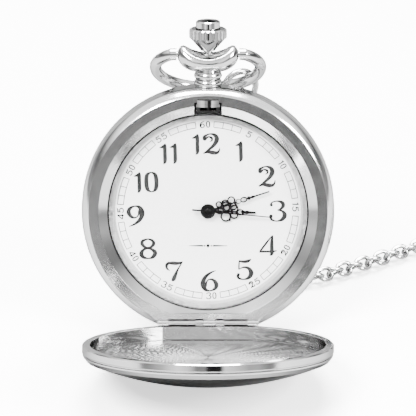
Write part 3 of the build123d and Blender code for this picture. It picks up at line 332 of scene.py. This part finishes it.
class Ink:
    """Flat strokes, each a closed bar with a top and sides, gathered in one mesh."""

    def __init__(self, base, height):
        self.base = base
        self.top = base + height
        self.verts = []
        self.faces = []

    def stroke(self, points, matrix=None, closed=False):
        """A ribbon along (x, y, half width) points."""
        count = len(points)
        start = len(self.verts)
        for i, (x, y, half) in enumerate(points):
            before = points[(i - 1) % count] if closed or i else points[i]
            after = points[(i + 1) % count] if closed or i < count - 1 else points[i]
            dx, dy = after[0] - before[0], after[1] - before[1]
            size = hypot(dx, dy) or 1.0
            nx, ny = -dy / size * half, dx / size * half
            for side in (1, -1):
                spot = Vector((x + nx * side, y + ny * side, 0))
                if matrix:
                    spot = matrix @ spot
                self.verts.append((spot.x, spot.y, self.base))
                self.verts.append((spot.x, spot.y, self.top))
        for i in range(count if closed else count - 1):
            a = start + 4 * i
            b = start + 4 * ((i + 1) % count)
            self.faces += [
                (a + 1, a + 3, b + 3, b + 1),
                (a, b, b + 2, a + 2),
                (a, a + 1, b + 1, b),
                (a + 2, b + 2, b + 3, a + 3),
            ]
        if not closed:
            a, b = start, start + 4 * (count - 1)
            self.faces += [(a, a + 2, a + 3, a + 1), (b, b + 1, b + 3, b + 2)]

    def dot(self, x, y, radius, matrix=None, sides=20):
        """A filled round."""
        start = len(self.verts)
        for i in range(sides):
            angle = 2 * pi * i / sides
            spot = Vector((x + radius * cos(angle), y + radius * sin(angle), 0))
            if matrix:
                spot = matrix @ spot
            self.verts.append((spot.x, spot.y, self.base))
            self.verts.append((spot.x, spot.y, self.top))
        self.faces.append(tuple(start + 2 * i + 1 for i in range(sides)))
        self.faces.append(tuple(start + 2 * i for i in reversed(range(sides))))
        for i in range(sides):
            j = (i + 1) % sides
            self.faces.append((start + 2 * i, start + 2 * j, start + 2 * j + 1, start + 2 * i + 1))

    def ring(self, x, y, radius, half, matrix=None, squeeze=1.0, sides=40):
        """A thin ring, narrowed across y by squeeze."""
        points = []
        for i in range(sides):
            angle = 2 * pi * i / sides
            points.append((x + radius * cos(angle), y + radius * squeeze * sin(angle), half))
        self.stroke(points, matrix, True)


# ---------------------------------------------------------------- dial print

# Each figure is drawn in a box 1 high: strokes of (x, y, half width), and dots (x, y, radius).
FIGURES = {
    "0": (0.62, [[(0.31, 0.97, 0.02), (0.12, 0.84, 0.075), (0.07, 0.5, 0.085), (0.12, 0.16, 0.075),
                  (0.31, 0.03, 0.02), (0.50, 0.16, 0.075), (0.55, 0.5, 0.085), (0.50, 0.84, 0.075),
                  (0.31, 0.97, 0.02)]], []),
    "1": (0.42, [[(0.30, 0.99, 0.012), (0.27, 0.88, 0.07), (0.26, 0.5, 0.075), (0.25, 0.14, 0.07),
                  (0.17, 0.0, 0.012)],
                 [(0.30, 0.97, 0.02), (0.17, 0.84, 0.055), (0.01, 0.80, 0.012)]], []),
    "2": (0.86, [[(0.36, 0.60, 0.012), (0.47, 0.66, 0.035), (0.45, 0.78, 0.05), (0.30, 0.83, 0.03),
                  (0.13, 0.72, 0.06), (0.13, 0.86, 0.055), (0.38, 0.97, 0.028), (0.62, 0.90, 0.07),
                  (0.70, 0.70, 0.095), (0.56, 0.44, 0.07), (0.28, 0.20, 0.045), (0.05, 0.03, 0.02)],
                 [(0.05, 0.05, 0.025), (0.25, 0.12, 0.06), (0.48, 0.07, 0.08), (0.68, 0.06, 0.06),
                  (0.79, 0.16, 0.035), (0.82, 0.30, 0.012)]], []),
    "3": (0.84, [[(0.12, 0.78, 0.05), (0.18, 0.92, 0.03), (0.42, 0.98, 0.028), (0.66, 0.90, 0.07),
                  (0.70, 0.74, 0.075), (0.58, 0.60, 0.045), (0.44, 0.54, 0.02)],
                 [(0.44, 0.55, 0.02), (0.66, 0.48, 0.05), (0.76, 0.30, 0.09), (0.64, 0.10, 0.07),
                  (0.38, 0.02, 0.025), (0.14, 0.10, 0.045), (0.09, 0.26, 0.06)]],
          [(0.15, 0.80, 0.07), (0.11, 0.27, 0.085), (0.46, 0.55, 0.04)]),
    "4": (0.86, [[(0.66, 0.98, 0.015), (0.44, 0.72, 0.035), (0.20, 0.42, 0.04), (0.04, 0.22, 0.03)],
                 [(0.02, 0.22, 0.045), (0.35, 0.21, 0.04), (0.64, 0.20, 0.04), (0.84, 0.24, 0.02)],
                 [(0.68, 0.98, 0.02), (0.63, 0.75, 0.06), (0.61, 0.45, 0.075), (0.60, 0.12, 0.075),
                  (0.50, 0.01, 0.015)]], []),
    "5": (0.84, [[(0.18, 0.96, 0.015), (0.16, 0.78, 0.03), (0.14, 0.52, 0.03)],
                 [(0.15, 0.92, 0.03), (0.38, 0.87, 0.055), (0.60, 0.90, 0.06), (0.74, 0.99, 0.015)],
                 [(0.13, 0.50, 0.015), (0.36, 0.60, 0.035), (0.60, 0.54, 0.065), (0.72, 0.32, 0.095),
                  (0.60, 0.10, 0.07), (0.36, 0.02, 0.028), (0.12, 0.09, 0.05), (0.08, 0.24, 0.055)]],
          [(0.11, 0.26, 0.075)]),
    "6": (0.86, [[(0.74, 0.99, 0.010), (0.46, 0.88, 0.045), (0.20, 0.66, 0.075), (0.09, 0.36, 0.095),
                  (0.20, 0.10, 0.075), (0.42, 0.02, 0.028), (0.66, 0.12, 0.065), (0.73, 0.32, 0.085),
                  (0.60, 0.53, 0.06), (0.40, 0.57, 0.028), (0.27, 0.44, 0.035), (0.24, 0.30, 0.045),
                  (0.28, 0.22, 0.012)]], []),
    "7": (0.84, [[(0.20, 0.52, 0.010), (0.07, 0.62, 0.04), (0.05, 0.80, 0.06), (0.18, 0.92, 0.05)],
                 [(0.10, 0.90, 0.03), (0.34, 0.88, 0.07), (0.58, 0.86, 0.06), (0.82, 0.93, 0.015)],
                 [(0.80, 0.92, 0.02), (0.60, 0.62, 0.035), (0.46, 0.34, 0.065), (0.36, 0.12, 0.085),
                  (0.26, 0.02, 0.03)]], []),
    "8": (0.84, [[(0.42, 0.97, 0.028), (0.18, 0.88, 0.06), (0.15, 0.72, 0.07), (0.30, 0.56, 0.05),
                  (0.56, 0.48, 0.05), (0.74, 0.30, 0.085), (0.64, 0.10, 0.07), (0.42, 0.03, 0.028),
                  (0.18, 0.10, 0.07), (0.09, 0.28, 0.085), (0.24, 0.48, 0.05), (0.54, 0.56, 0.05),
                  (0.69, 0.73, 0.07), (0.62, 0.89, 0.055), (0.42, 0.97, 0.028)]], []),
    "9": (0.86, [[(0.12, 0.01, 0.010), (0.40, 0.12, 0.045), (0.66, 0.34, 0.075), (0.77, 0.64, 0.095),
                  (0.66, 0.90, 0.075), (0.44, 0.98, 0.028), (0.20, 0.88, 0.065), (0.13, 0.68, 0.085),
                  (0.26, 0.47, 0.06), (0.46, 0.43, 0.028), (0.59, 0.56, 0.035), (0.62, 0.70, 0.045),
                  (0.58, 0.78, 0.012)]], []),
}


def write(ink, text, matrix, height, gap=0.08, weight=1.0, plain=0.0):
    """Draw figures in a row, centred on the matrix's origin. plain evens out the stroke width."""
    width = sum(FIGURES[c][0] for c in text) + gap * (len(text) - 1)
    pen = -width / 2
    for c in text:
        advance, strokes, dots = FIGURES[c]
        for points in strokes:
            scaled = []
            for x, y, half in spline(points, 6):
                half = (half * (1 - plain) + plain * 0.05) * weight
                scaled.append(((x + pen) * height, (y - 0.5) * height, max(half, 0.008) * height))
            ink.stroke(scaled, matrix)
        if not plain:
            for x, y, radius in dots:
                ink.dot((x + pen) * height, (y - 0.5) * height, radius * height, matrix)
        pen += advance + gap


def at_angle(turn, radius, turned):
    """A place on the dial, turn counted clockwise from 12; turned also turns what is drawn there."""
    angle = radians(turn)
    spot = Matrix.Translation((radius * sin(angle), radius * cos(angle), 0))
    return spot @ Matrix.Rotation(-radians(turned), 4, "Z")


# The whole print sits slightly turned in the case.
PRINT_TURN = 2.1
HOUR_HEIGHT, HOUR_PRINT = 3.95, 0.05
HOUR_SPOTS = {
    1: (5.9, 11.15), 2: (10.9, 6.45), 3: (12.9, -0.15), 4: (11.15, -6.7),
    5: (6.85, -11.25), 6: (0.35, -13.45), 7: (-6.2, -11.55), 8: (-11.15, -7.3),
    9: (-13.55, -1.1), 10: (-11.55, 5.35), 11: (-7.25, 10.75), 12: (-0.35, 12.6),
}
hours = Ink(DIAL_TOP, HOUR_PRINT)
for hour, (x, y) in HOUR_SPOTS.items():
    matrix = Matrix.Translation((x, y, 0)) @ Matrix.Rotation(radians(PRINT_TURN), 4, "Z")
    write(hours, str(hour), matrix, HOUR_HEIGHT, gap=0.10 if hour < 11 else 0.06, weight=1.2)
piece("hour_figures", hours.verts, hours.faces, PRINT, watch_matrix(), "case")

TRACK_IN, TRACK_OUT, LINE = 15.75, 16.85, 0.055
LABEL_R, LABEL_HEIGHT, FINE_PRINT = 16.3, 1.2, 0.045
minutes = Ink(DIAL_TOP, FINE_PRINT)
for label in range(0, 60, 5):
    turn = label * 6 - PRINT_TURN
    upright = turn if label <= 15 or label >= 45 else turn + 180
    spot = at_angle(turn, LABEL_R, upright)
    write(minutes, str(label or 60), spot, LABEL_HEIGHT, gap=0.16, weight=1.5, plain=0.8)
    edges = [turn + 6 * step for step in (1, 2, 3, 4)]
    for edge in edges:
        matrix = at_angle(edge, 0, edge)
        minutes.stroke([(0, TRACK_IN, LINE), (0, TRACK_OUT, LINE)], matrix)
    for radius in (TRACK_IN, TRACK_OUT):
        arc = []
        for i in range(25):
            angle = radians(edges[0] + (edges[-1] - edges[0]) * i / 24)
            arc.append((radius * sin(angle), radius * cos(angle), LINE))
        minutes.stroke(arc)
piece("minute_track", minutes.verts, minutes.faces, PRINT_FINE, watch_matrix(), "case")

rule = Ink(DIAL_TOP, FINE_PRINT)
RULE_Y = -6.75
for side in (-1, 1):
    rule.stroke([(side * 0.9, RULE_Y, 0.15), (side * 2.0, RULE_Y, 0.12), (side * 3.6, RULE_Y, 0.03)])
    rule.dot(side * 0.62, RULE_Y, 0.15)
rule.stroke([(0, RULE_Y - 0.42, 0.012), (0, RULE_Y, 0.34), (0, RULE_Y + 0.42, 0.012)])
piece("dial_ornament", rule.verts, rule.faces, PRINT_FINE, watch_matrix(), "case")

# ---------------------------------------------------------------- hands


def hand_turn(turn):
    """A hand's turn, clockwise from 12."""
    return Matrix.Rotation(-radians(turn), 4, "Z")


hour_ink = Ink(HOURS_LEVEL, HAND)
turn = hand_turn(92.5)
hour_ink.ring(0, 0, 0.95, 0.27, turn)
hour_ink.stroke([(0, 1.1, 0.22), (0, 2.0, 0.13), (0, 3.1, 0.1)], turn)
for side in (-1, 1):
    hour_ink.ring(side * 0.95, 3.35, 0.85, 0.15, turn)
    hour_ink.ring(side * 0.62, 4.9, 0.62, 0.14, turn)
    leaf = [(side * 0.2, 1.4, 0.09), (side * 0.5, 2.0, 0.08), (side * 0.35, 2.7, 0.07)]
    hour_ink.stroke(spline(leaf, 5), turn)
    hour_ink.dot(side * 1.62, 4.15, 0.2, turn)
    hour_ink.dot(side * 1.1, 2.4, 0.14, turn)
    barb = [(side * 0.12, 5.5, 0.1), (side * 0.55, 6.0, 0.09), (side * 0.05, 6.7, 0.08)]
    hour_ink.stroke(spline(barb, 5), turn)
hour_ink.stroke([(0, 3.0, 0.12), (0, 5.6, 0.12)], turn)
tip = [
    (0, 6.1, 0.05), (0, 6.45, 0.5), (0, 6.8, 0.22), (0, 7.3, 0.36), (0, 7.7, 0.22), (0, 8.9, 0.18),
]
hour_ink.stroke(tip, turn)
hour_piece = piece(
    "hour_hand_openwork", hour_ink.verts, hour_ink.faces, LACQUER, watch_matrix(), "hours"
)
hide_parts("hour_hand")

minute_ink = Ink(MINUTES_LEVEL, HAND)
turn = hand_turn(72)
minute_ink.ring(0, 0, 0.72, 0.3, turn)
minute_ink.stroke([(0, 1.0, 0.2), (0, 2.2, 0.1), (0, 5.6, 0.075)], turn)
for side in (-1, 1):
    minute_ink.ring(side * 0.55, 2.3, 0.5, 0.14, turn)
    minute_ink.ring(side * 0.45, 3.5, 0.55, 0.14, turn)
    minute_ink.ring(side * 0.62, 4.75, 0.62, 0.14, turn)
    minute_ink.dot(side * 1.0, 3.1, 0.12, turn)
    barb = [(0, 5.4, 0.09), (side * 0.42, 5.9, 0.07), (side * 0.05, 6.5, 0.08)]
    minute_ink.stroke(spline(barb, 5), turn)
minute_ink.ring(0, 7.0, 0.42, 0.13, turn, 1.35)
tip = [
    (0, 7.5, 0.05), (0, 8.0, 0.42), (0, 8.35, 0.16), (0, 8.7, 0.28), (0, 9.1, 0.15), (0, 12.0, 0.13),
]
minute_ink.stroke(tip, turn)
minute_piece = piece(
    "minute_hand_openwork", minute_ink.verts, minute_ink.faces, LACQUER, watch_matrix(), "minutes"
)
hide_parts("minute_hand")

SECONDS_HAND = 0.09
second_ink = Ink(SECONDS_LEVEL, SECONDS_HAND)
turn = hand_turn(95.5)
blade = [(0, -3.0, 0.17), (0, -0.6, 0.14), (0, 0.6, 0.16), (0, 7.0, 0.12), (0, 11.9, 0.09)]
second_ink.stroke(blade, turn)
second_piece = piece(
    "second_hand_blade", second_ink.verts, second_ink.faces, LACQUER, watch_matrix(), "seconds"
)
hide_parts("second_hand")

top = SECONDS_LEVEL + 0.2
under = SECONDS_LEVEL - 0.12
hub_rings = [
    (0.32, under), (1.36, under), (1.40, under + 0.04), (1.40, top - 0.10), (1.34, top - 0.03), (1.24, top),
    (1.14, top - 0.01), (1.08, top - 0.07), (0.98, top - 0.08), (0.90, top - 0.03), (0.78, top - 0.03),
    (0.70, top - 0.09), (0.52, top - 0.09), (0.42, top - 0.01), (0.28, top + 0.06), (0.12, top + 0.08),
    (0.02, top + 0.085),
]
verts, faces = turned(hub_rings)
piece("hub_cap", verts, faces, LACQUER, watch_matrix(), "seconds", True)

# ---------------------------------------------------------------- engine-turned lid liner

LINER_R, LINER_CHORD, LINER_TOP = 21.4, 19.7, 2.4
LINER_FACE, LINER_BACK, HUB_HOLE = 0.109, 0.25, 0.02
PLAIN_RIM = 12  # the relief fades over the outer twelfth
RAYS, RINGS = 720, 180
WAVES, WAVE_DEPTH, SWIRL = 72, 0.03, 0.55
SCALLOPS, SCALLOP_DEPTH, SCALLOP_PITCH = 24, 0.035, 0.95
verts, faces = [], []
for k in range(RINGS + 1):
    share = k / RINGS
    for i in range(RAYS):
        angle = 2 * pi * i / RAYS
        reach = LINER_R
        if sin(angle) < 0:
            reach = min(reach, LINER_CHORD / -sin(angle))
        radius = HUB_HOLE + (reach - HUB_HOLE) * share
        spread = radius / LINER_R
        wave = cos(WAVES * (angle + SWIRL * spread)) * min(1, spread * 3)
        scallop = cos(2 * pi * (radius + 0.3 * cos(SCALLOPS * angle)) / SCALLOP_PITCH)
        relief = WAVE_DEPTH * wave + SCALLOP_DEPTH * scallop * min(1, spread * 4)
        edge = min(1.0, (1 - share) * PLAIN_RIM)
        verts.append((radius * cos(angle), radius * sin(angle), LINER_FACE - relief * edge))
for k in range(RINGS):
    for i in range(RAYS):
        j = (i + 1) % RAYS
        faces.append((k * RAYS + i, k * RAYS + j, (k + 1) * RAYS + j, (k + 1) * RAYS + i))
faces.append(tuple(reversed(range(RAYS))))
base = len(verts)
for i in range(RAYS):
    x, y, _ = verts[RINGS * RAYS + i]
    verts.append((x, y, LINER_BACK))
for i in range(RAYS):
    j = (i + 1) % RAYS
    faces.append((RINGS * RAYS + i, RINGS * RAYS + j, base + j, base + i))
faces.append(tuple(base + i for i in range(RAYS)))
liner = piece("engine_turned_disc", verts, faces, LINER, lid_matrix(LINER_TOP), "lid", True)
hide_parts("lid_liner")

# ---------------------------------------------------------------- flange ring ribs

RIB_STEPS, RIBS = 240, 5
RIB_IN, RIB_OUT = 17.30, 17.62
RIB_LOW, RIB_CLIMB = DIAL_TOP + 0.17, 0.9
RIB_SECTION = ((-0.045, 0.0), (-0.02, 0.06), (0.03, 0.0))
ribs, rib_faces = [], []
for level in range(RIBS):
    share = (level + 0.5) / RIBS
    radius = RIB_IN + (RIB_OUT - RIB_IN) * share
    height = RIB_LOW + RIB_CLIMB * share
    start = len(ribs)
    for i in range(RIB_STEPS):
        angle = 2 * pi * i / RIB_STEPS
        for out, up in RIB_SECTION:
            ribs.append(((radius + out) * cos(angle), (radius + out) * sin(angle), height + up + out * 1.1))
    for i in range(RIB_STEPS):
        j = (i + 1) % RIB_STEPS
        for a, b in ((0, 1), (1, 2), (2, 0)):
            rib_faces.append((start + 3 * i + a, start + 3 * i + b, start + 3 * j + b, start + 3 * j + a))
piece("flange_ribs", ribs, rib_faces, RING_WHITE, watch_matrix(), "case")

# ---------------------------------------------------------------- painted shade: black ring in the crystal's gap, black sheets in the catch recess

# Painted shade: a thin black ring at the crystal's edge stands in for the shaded gap between bezel and
# crystal.
GAP_SHADE_R, GAP_SHADE_WIRE, GAP_SHADE_LEVEL = 18.5, 0.11, -0.62
GAP_SHADE_STEPS, WIRE_SIDES = 180, 8
verts, faces = [], []
for i in range(GAP_SHADE_STEPS):
    angle = 2 * pi * i / GAP_SHADE_STEPS
    j = (i + 1) % GAP_SHADE_STEPS
    for k in range(WIRE_SIDES):
        m = (k + 1) % WIRE_SIDES
        bend = 2 * pi * k / WIRE_SIDES
        radius = GAP_SHADE_R + GAP_SHADE_WIRE * cos(bend)
        verts.append((radius * cos(angle), radius * sin(angle), GAP_SHADE_LEVEL + GAP_SHADE_WIRE * sin(bend)))
        faces.append((i * WIRE_SIDES + k, j * WIRE_SIDES + k, j * WIRE_SIDES + m, i * WIRE_SIDES + m))
piece("crystal_gap_shade_ring", verts, faces, RUBBER_AND_PAINTED_SHADE, watch_matrix(), "case", True)

# Painted shade: thin black sheets on the catch recess's walls and floor stand in for the shade inside it.
POCKET_IN, POCKET_OUT, POCKET_FLOOR = 18.5, 20.82, -5.4
POCKET_HALF, SKIN = 2.48, 0.06
CHEEK_IN, CHEEK_OUT, CHEEK_TOP, WALL_TOP = 2.46, 2.545, -0.12, -0.35
verts, faces = [], []
for side in (-1, 1):
    inner, outer = sorted((side * CHEEK_IN, side * CHEEK_OUT))
    slab(verts, faces, (inner, POCKET_IN, POCKET_FLOOR), (outer, POCKET_OUT + SKIN, CHEEK_TOP))
slab(verts, faces, (-POCKET_HALF, POCKET_OUT, POCKET_FLOOR), (POCKET_HALF, POCKET_OUT + SKIN, WALL_TOP))
slab(verts, faces, (-POCKET_HALF, POCKET_IN, POCKET_FLOOR - SKIN), (POCKET_HALF, POCKET_OUT, POCKET_FLOOR))
piece("catch_recess_painted_shade", verts, faces, RUBBER_AND_PAINTED_SHADE, watch_matrix(), "case")

# ---------------------------------------------------------------- chain

CHAIN_D = 3.2
FLOOR_LINE = CHAIN_D / 2
START = (5.8677, 31.9404, 33.6178)
ROUTE = [
    START, (5.9, 31.95, 24.0), (6.8, 31.7, 12.6), (10.2, 30.6, 5.2), (18.0, 29.6, FLOOR_LINE),
    (25.6, 34.0, FLOOR_LINE), (33.4, 38.9, FLOOR_LINE), (44.2, 46.4, FLOOR_LINE), (53.6, 52.4, FLOOR_LINE),
]
OUTER_TURN, INNER_TURN, ENTRY_R = 19.55, 16.35, 19.6
way = (Vector(ROUTE[-1]) - Vector(ROUTE[-2])).normalized()
coil_centre = Vector(ROUTE[-1]) + Vector((way.y, -way.x, 0)) * ENTRY_R
entry_angle = atan2(ROUTE[-1][1] - coil_centre.y, ROUTE[-1][0] - coil_centre.x)
COIL_POINTS, TURNS = 30, 1.9
CORNER_SPREAD = 1.012  # the line cuts inside its points by this much
OUTER_PART, STEP_IN = 0.78, 0.3  # turns on the outer coil, and turns taken to reach the inner one
for i in range(1, COIL_POINTS + 1):
    share = i / COIL_POINTS
    angle = entry_angle - 2 * pi * TURNS * share
    settle = min(1.0, max(0.0, (share * TURNS - OUTER_PART) / STEP_IN))
    radius = (OUTER_TURN + (INNER_TURN - OUTER_TURN) * settle) * CORNER_SPREAD
    ROUTE.append((coil_centre.x + radius * cos(angle), coil_centre.y + radius * sin(angle), FLOOR_LINE))

route_curve = bpy.data.curves.new("chain_route", "CURVE")
route_curve.dimensions = "3D"
line = route_curve.splines.new("NURBS")
line.points.add(len(ROUTE) - 1)
for point, spot in zip(line.points, ROUTE):
    point.co = (spot[0] * MM, spot[1] * MM, spot[2] * MM, 1)
line.order_u = 3
line.use_endpoint_u = True
line.resolution_u = 12
route_object = bpy.data.objects.new("chain_route", route_curve)
bpy.context.scene.collection.objects.link(route_object)
bpy.context.view_layer.update()
route_mesh = bpy.data.meshes.new_from_object(route_object)
path = [v.co.copy() for v in route_mesh.vertices]
bpy.data.objects.remove(route_object)
bpy.data.meshes.remove(route_mesh)

lengths = [0.0]
for a, b in zip(path, path[1:]):
    lengths.append(lengths[-1] + (b - a).length)
CHAIN_LENGTH = lengths[-1]


def along(distance):
    """The point and direction of the chain's line at a distance from its start."""
    distance = min(max(distance, 0.0), CHAIN_LENGTH)
    low = 0
    while low < len(lengths) - 2 and lengths[low + 1] < distance:
        low += 1
    span = lengths[low + 1] - lengths[low] or 1e-9
    share = (distance - lengths[low]) / span
    return path[low].lerp(path[low + 1], share), (path[low + 1] - path[low]).normalized()


def link_mesh(length, width, wire, twist, sides=10, steps=28):
    """A curb link: an oval of round wire, twisted about its length. Local x runs along the chain."""
    verts, faces = [], []
    half_l, half_w = length / 2 - wire, width / 2 - wire
    rim = []
    for i in range(steps):
        angle = 2 * pi * i / steps
        c, s = cos(angle), sin(angle)
        x = half_l * (abs(c) ** 0.8) * (1 if c >= 0 else -1)
        y = half_w * (abs(s) ** 0.8) * (1 if s >= 0 else -1)
        bend = twist * x / half_l
        rim.append(Vector((x, y * cos(bend), y * sin(bend))))
    for i, spot in enumerate(rim):
        ahead = (rim[(i + 1) % steps] - rim[i - 1]).normalized()
        side = ahead.cross(Vector((0, 0, 1))).normalized()
        over = side.cross(ahead)
        for k in range(sides):
            angle = 2 * pi * k / sides
            verts.append(spot + side * (wire * cos(angle)) + over * (wire * sin(angle)))
    for i in range(steps):
        j = (i + 1) % steps
        for k in range(sides):
            m = (k + 1) % sides
            faces.append((i * sides + k, j * sides + k, j * sides + m, i * sides + m))
    return verts, faces


PITCH, WIRE, LINK_WIDTH, SLACK = 2.15, 0.4, 3.1, 0.12
link_verts, link_faces = link_mesh(PITCH + 4 * WIRE - SLACK, LINK_WIDTH, WIRE, radians(16))
LINK_ROLL, ROLL_STRAY = radians(45), radians(5)
count = int(CHAIN_LENGTH / MM / PITCH)
chain_verts, chain_faces = [], []
reference = Vector((0, 1, 0))
for number in range(count):
    spot, ahead = along((number + 0.5) * PITCH * MM)
    side = ahead.cross(reference)
    if side.length < 0.05:
        side = ahead.cross(Vector((1, 0, 0)))
    side.normalize()
    reference = side.cross(ahead).normalized()
    over = side.cross(ahead)
    roll = (LINK_ROLL if number % 2 else -LINK_ROLL) + ROLL_STRAY * sin(number * 1.7)
    y_axis = side * cos(roll) + over * sin(roll)
    z_axis = ahead.cross(y_axis)
    start = len(chain_verts)
    for v in link_verts:
        chain_verts.append(spot + (ahead * v.x + y_axis * v.y + z_axis * v.z) * MM)
    for face in link_faces:
        chain_faces.append(tuple(start + i for i in face))
chain = piece("curb_chain", chain_verts, chain_faces, CHAIN, Matrix(), None, True)
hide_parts("chain_run", "chain_coil")
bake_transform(chain)

# ---------------------------------------------------------------- studio

# The table is bright to the camera and dim in the chrome.
TABLE_REFLECTED, TABLE_SEEN, TABLE_GLOW = 0.22, 0.94, 1.3
FLOOR = painted("studio_floor", grey(0.93), grey(0.95), 0.7, 20, 0, Emission_Color=grey(1.0))
floor_tree = FLOOR.node_tree
floor_shader = floor_tree.nodes["Principled BSDF"]
rays = floor_tree.nodes.new("ShaderNodeLightPath")
sheet = blended(floor_tree, rays.outputs["Is Camera Ray"], grey(TABLE_REFLECTED), grey(TABLE_SEEN))
floor_tree.links.new(sheet, floor_shader.inputs["Base Color"])
glow = floor_tree.nodes.new("ShaderNodeMath")
glow.operation = "MULTIPLY"
glow.inputs[1].default_value = TABLE_GLOW
floor_tree.links.new(rays.outputs["Is Camera Ray"], glow.inputs[0])
floor_tree.links.new(glow.outputs["Value"], floor_shader.inputs["Emission Strength"])
SIDE, FLOOR_DROP = 3.0, 0.0002
corners = [(-SIDE, -SIDE, 0), (SIDE, -SIDE, 0), (SIDE, SIDE, 0), (-SIDE, SIDE, 0)]
floor_mesh = bpy.data.meshes.new("floor")
floor_mesh.from_pydata(corners, [], [(0, 1, 2, 3)])
floor_mesh.materials.append(FLOOR)
floor = bpy.data.objects.new("floor", floor_mesh)
bpy.context.scene.collection.objects.link(floor)
floor.location.z = -FLOOR_DROP

world = bpy.data.worlds.new("studio")
world.use_nodes = True
sky_tree = world.node_tree
sky = sky_tree.nodes["Background"]
SKY_STRENGTH = 3.0
sky.inputs["Strength"].default_value = SKY_STRENGTH
where = sky_tree.nodes.new("ShaderNodeTexCoord")
parts = sky_tree.nodes.new("ShaderNodeSeparateXYZ")
sky_tree.links.new(where.outputs["Generated"], parts.inputs["Vector"])


def band(source, stops):
    """A grey ramp along one direction of the studio, -1 to 1."""
    node = sky_tree.nodes.new("ShaderNodeMapRange")
    node.inputs["From Min"].default_value = -1
    sky_tree.links.new(source, node.inputs["Value"])
    ramp = sky_tree.nodes.new("ShaderNodeValToRGB")
    while len(ramp.color_ramp.elements) < len(stops):
        ramp.color_ramp.elements.new(0.5)
    for element, (at, value) in zip(ramp.color_ramp.elements, stops):
        element.position = (at + 1) / 2
        element.color = grey(value)
    sky_tree.links.new(node.outputs["Result"], ramp.inputs["Fac"])
    return ramp.outputs["Color"]


across = band(
    parts.outputs["X"],
    [
        (-1, 0.16), (-0.9, 0.2), (-0.66, 0.4), (-0.45, 1.0), (-0.3, 0.8), (-0.18, 0.22), (-0.05, 0.25),
        (0.0, 0.01), (0.2, 0.01), (0.27, 1.0), (0.45, 0.6), (0.6, 0.3), (0.72, 0.35), (0.9, 0.12), (1, 0.12),
    ],
)
height = band(
    parts.outputs["Z"],
    [(-1, 0.6), (0.02, 0.6), (0.1, 1.0), (0.2, 0.45), (0.3, 0.28), (0.4, 0.6), (0.6, 1.0), (1, 0.6)],
)
mask = band(parts.outputs["Z"], [(-1, 1.0), (0.35, 1.0), (0.6, 0.25), (1, 0.1)])
sky_tree.links.new(blended(sky_tree, mask, height, across, "MULTIPLY"), sky.inputs["Color"])
bpy.context.scene.world = world


def panel(name, where, aim, size, power):
    """A square soft light."""
    lamp = bpy.data.lights.new(name, "AREA")
    lamp.energy = power
    lamp.size = size
    obj = bpy.data.objects.new(name, lamp)
    obj.location = where
    obj.rotation_euler = (Vector(aim) - Vector(where)).to_track_quat("-Z", "Y").to_euler()
    bpy.context.scene.collection.objects.link(obj)


panel("key", (-0.35, -0.45, 0.7), (0, 0, 0.02), 0.35, 48.0)
panel("fill", (0.55, -0.35, 0.45), (0, 0, 0.02), 0.3, 24.0)
panel("top", (0.0, 0.25, 0.8), (0, 0.01, 0.02), 0.5, 45.0)

ELEVATION = radians(27)
RANGE, FIELD, SENSOR, AIM_RISE = 1.2, 0.0772, 36, 0.001
camera_data = bpy.data.cameras.new("camera")
camera = bpy.data.objects.new("camera", camera_data)
bpy.context.scene.collection.objects.link(camera)
screen_up = Vector((0, sin(ELEVATION), cos(ELEVATION)))
target = SEAT_CENTRE * MM + screen_up * AIM_RISE
camera.location = target + Vector((0, -cos(ELEVATION), sin(ELEVATION))) * RANGE
camera.rotation_euler = (target - camera.location).to_track_quat("-Z", "Y").to_euler()
camera_data.sensor_width = SENSOR
camera_data.lens = SENSOR * RANGE / FIELD
camera_data.clip_start = 0.01
camera_data.clip_end = 20
bpy.context.scene.camera = camera
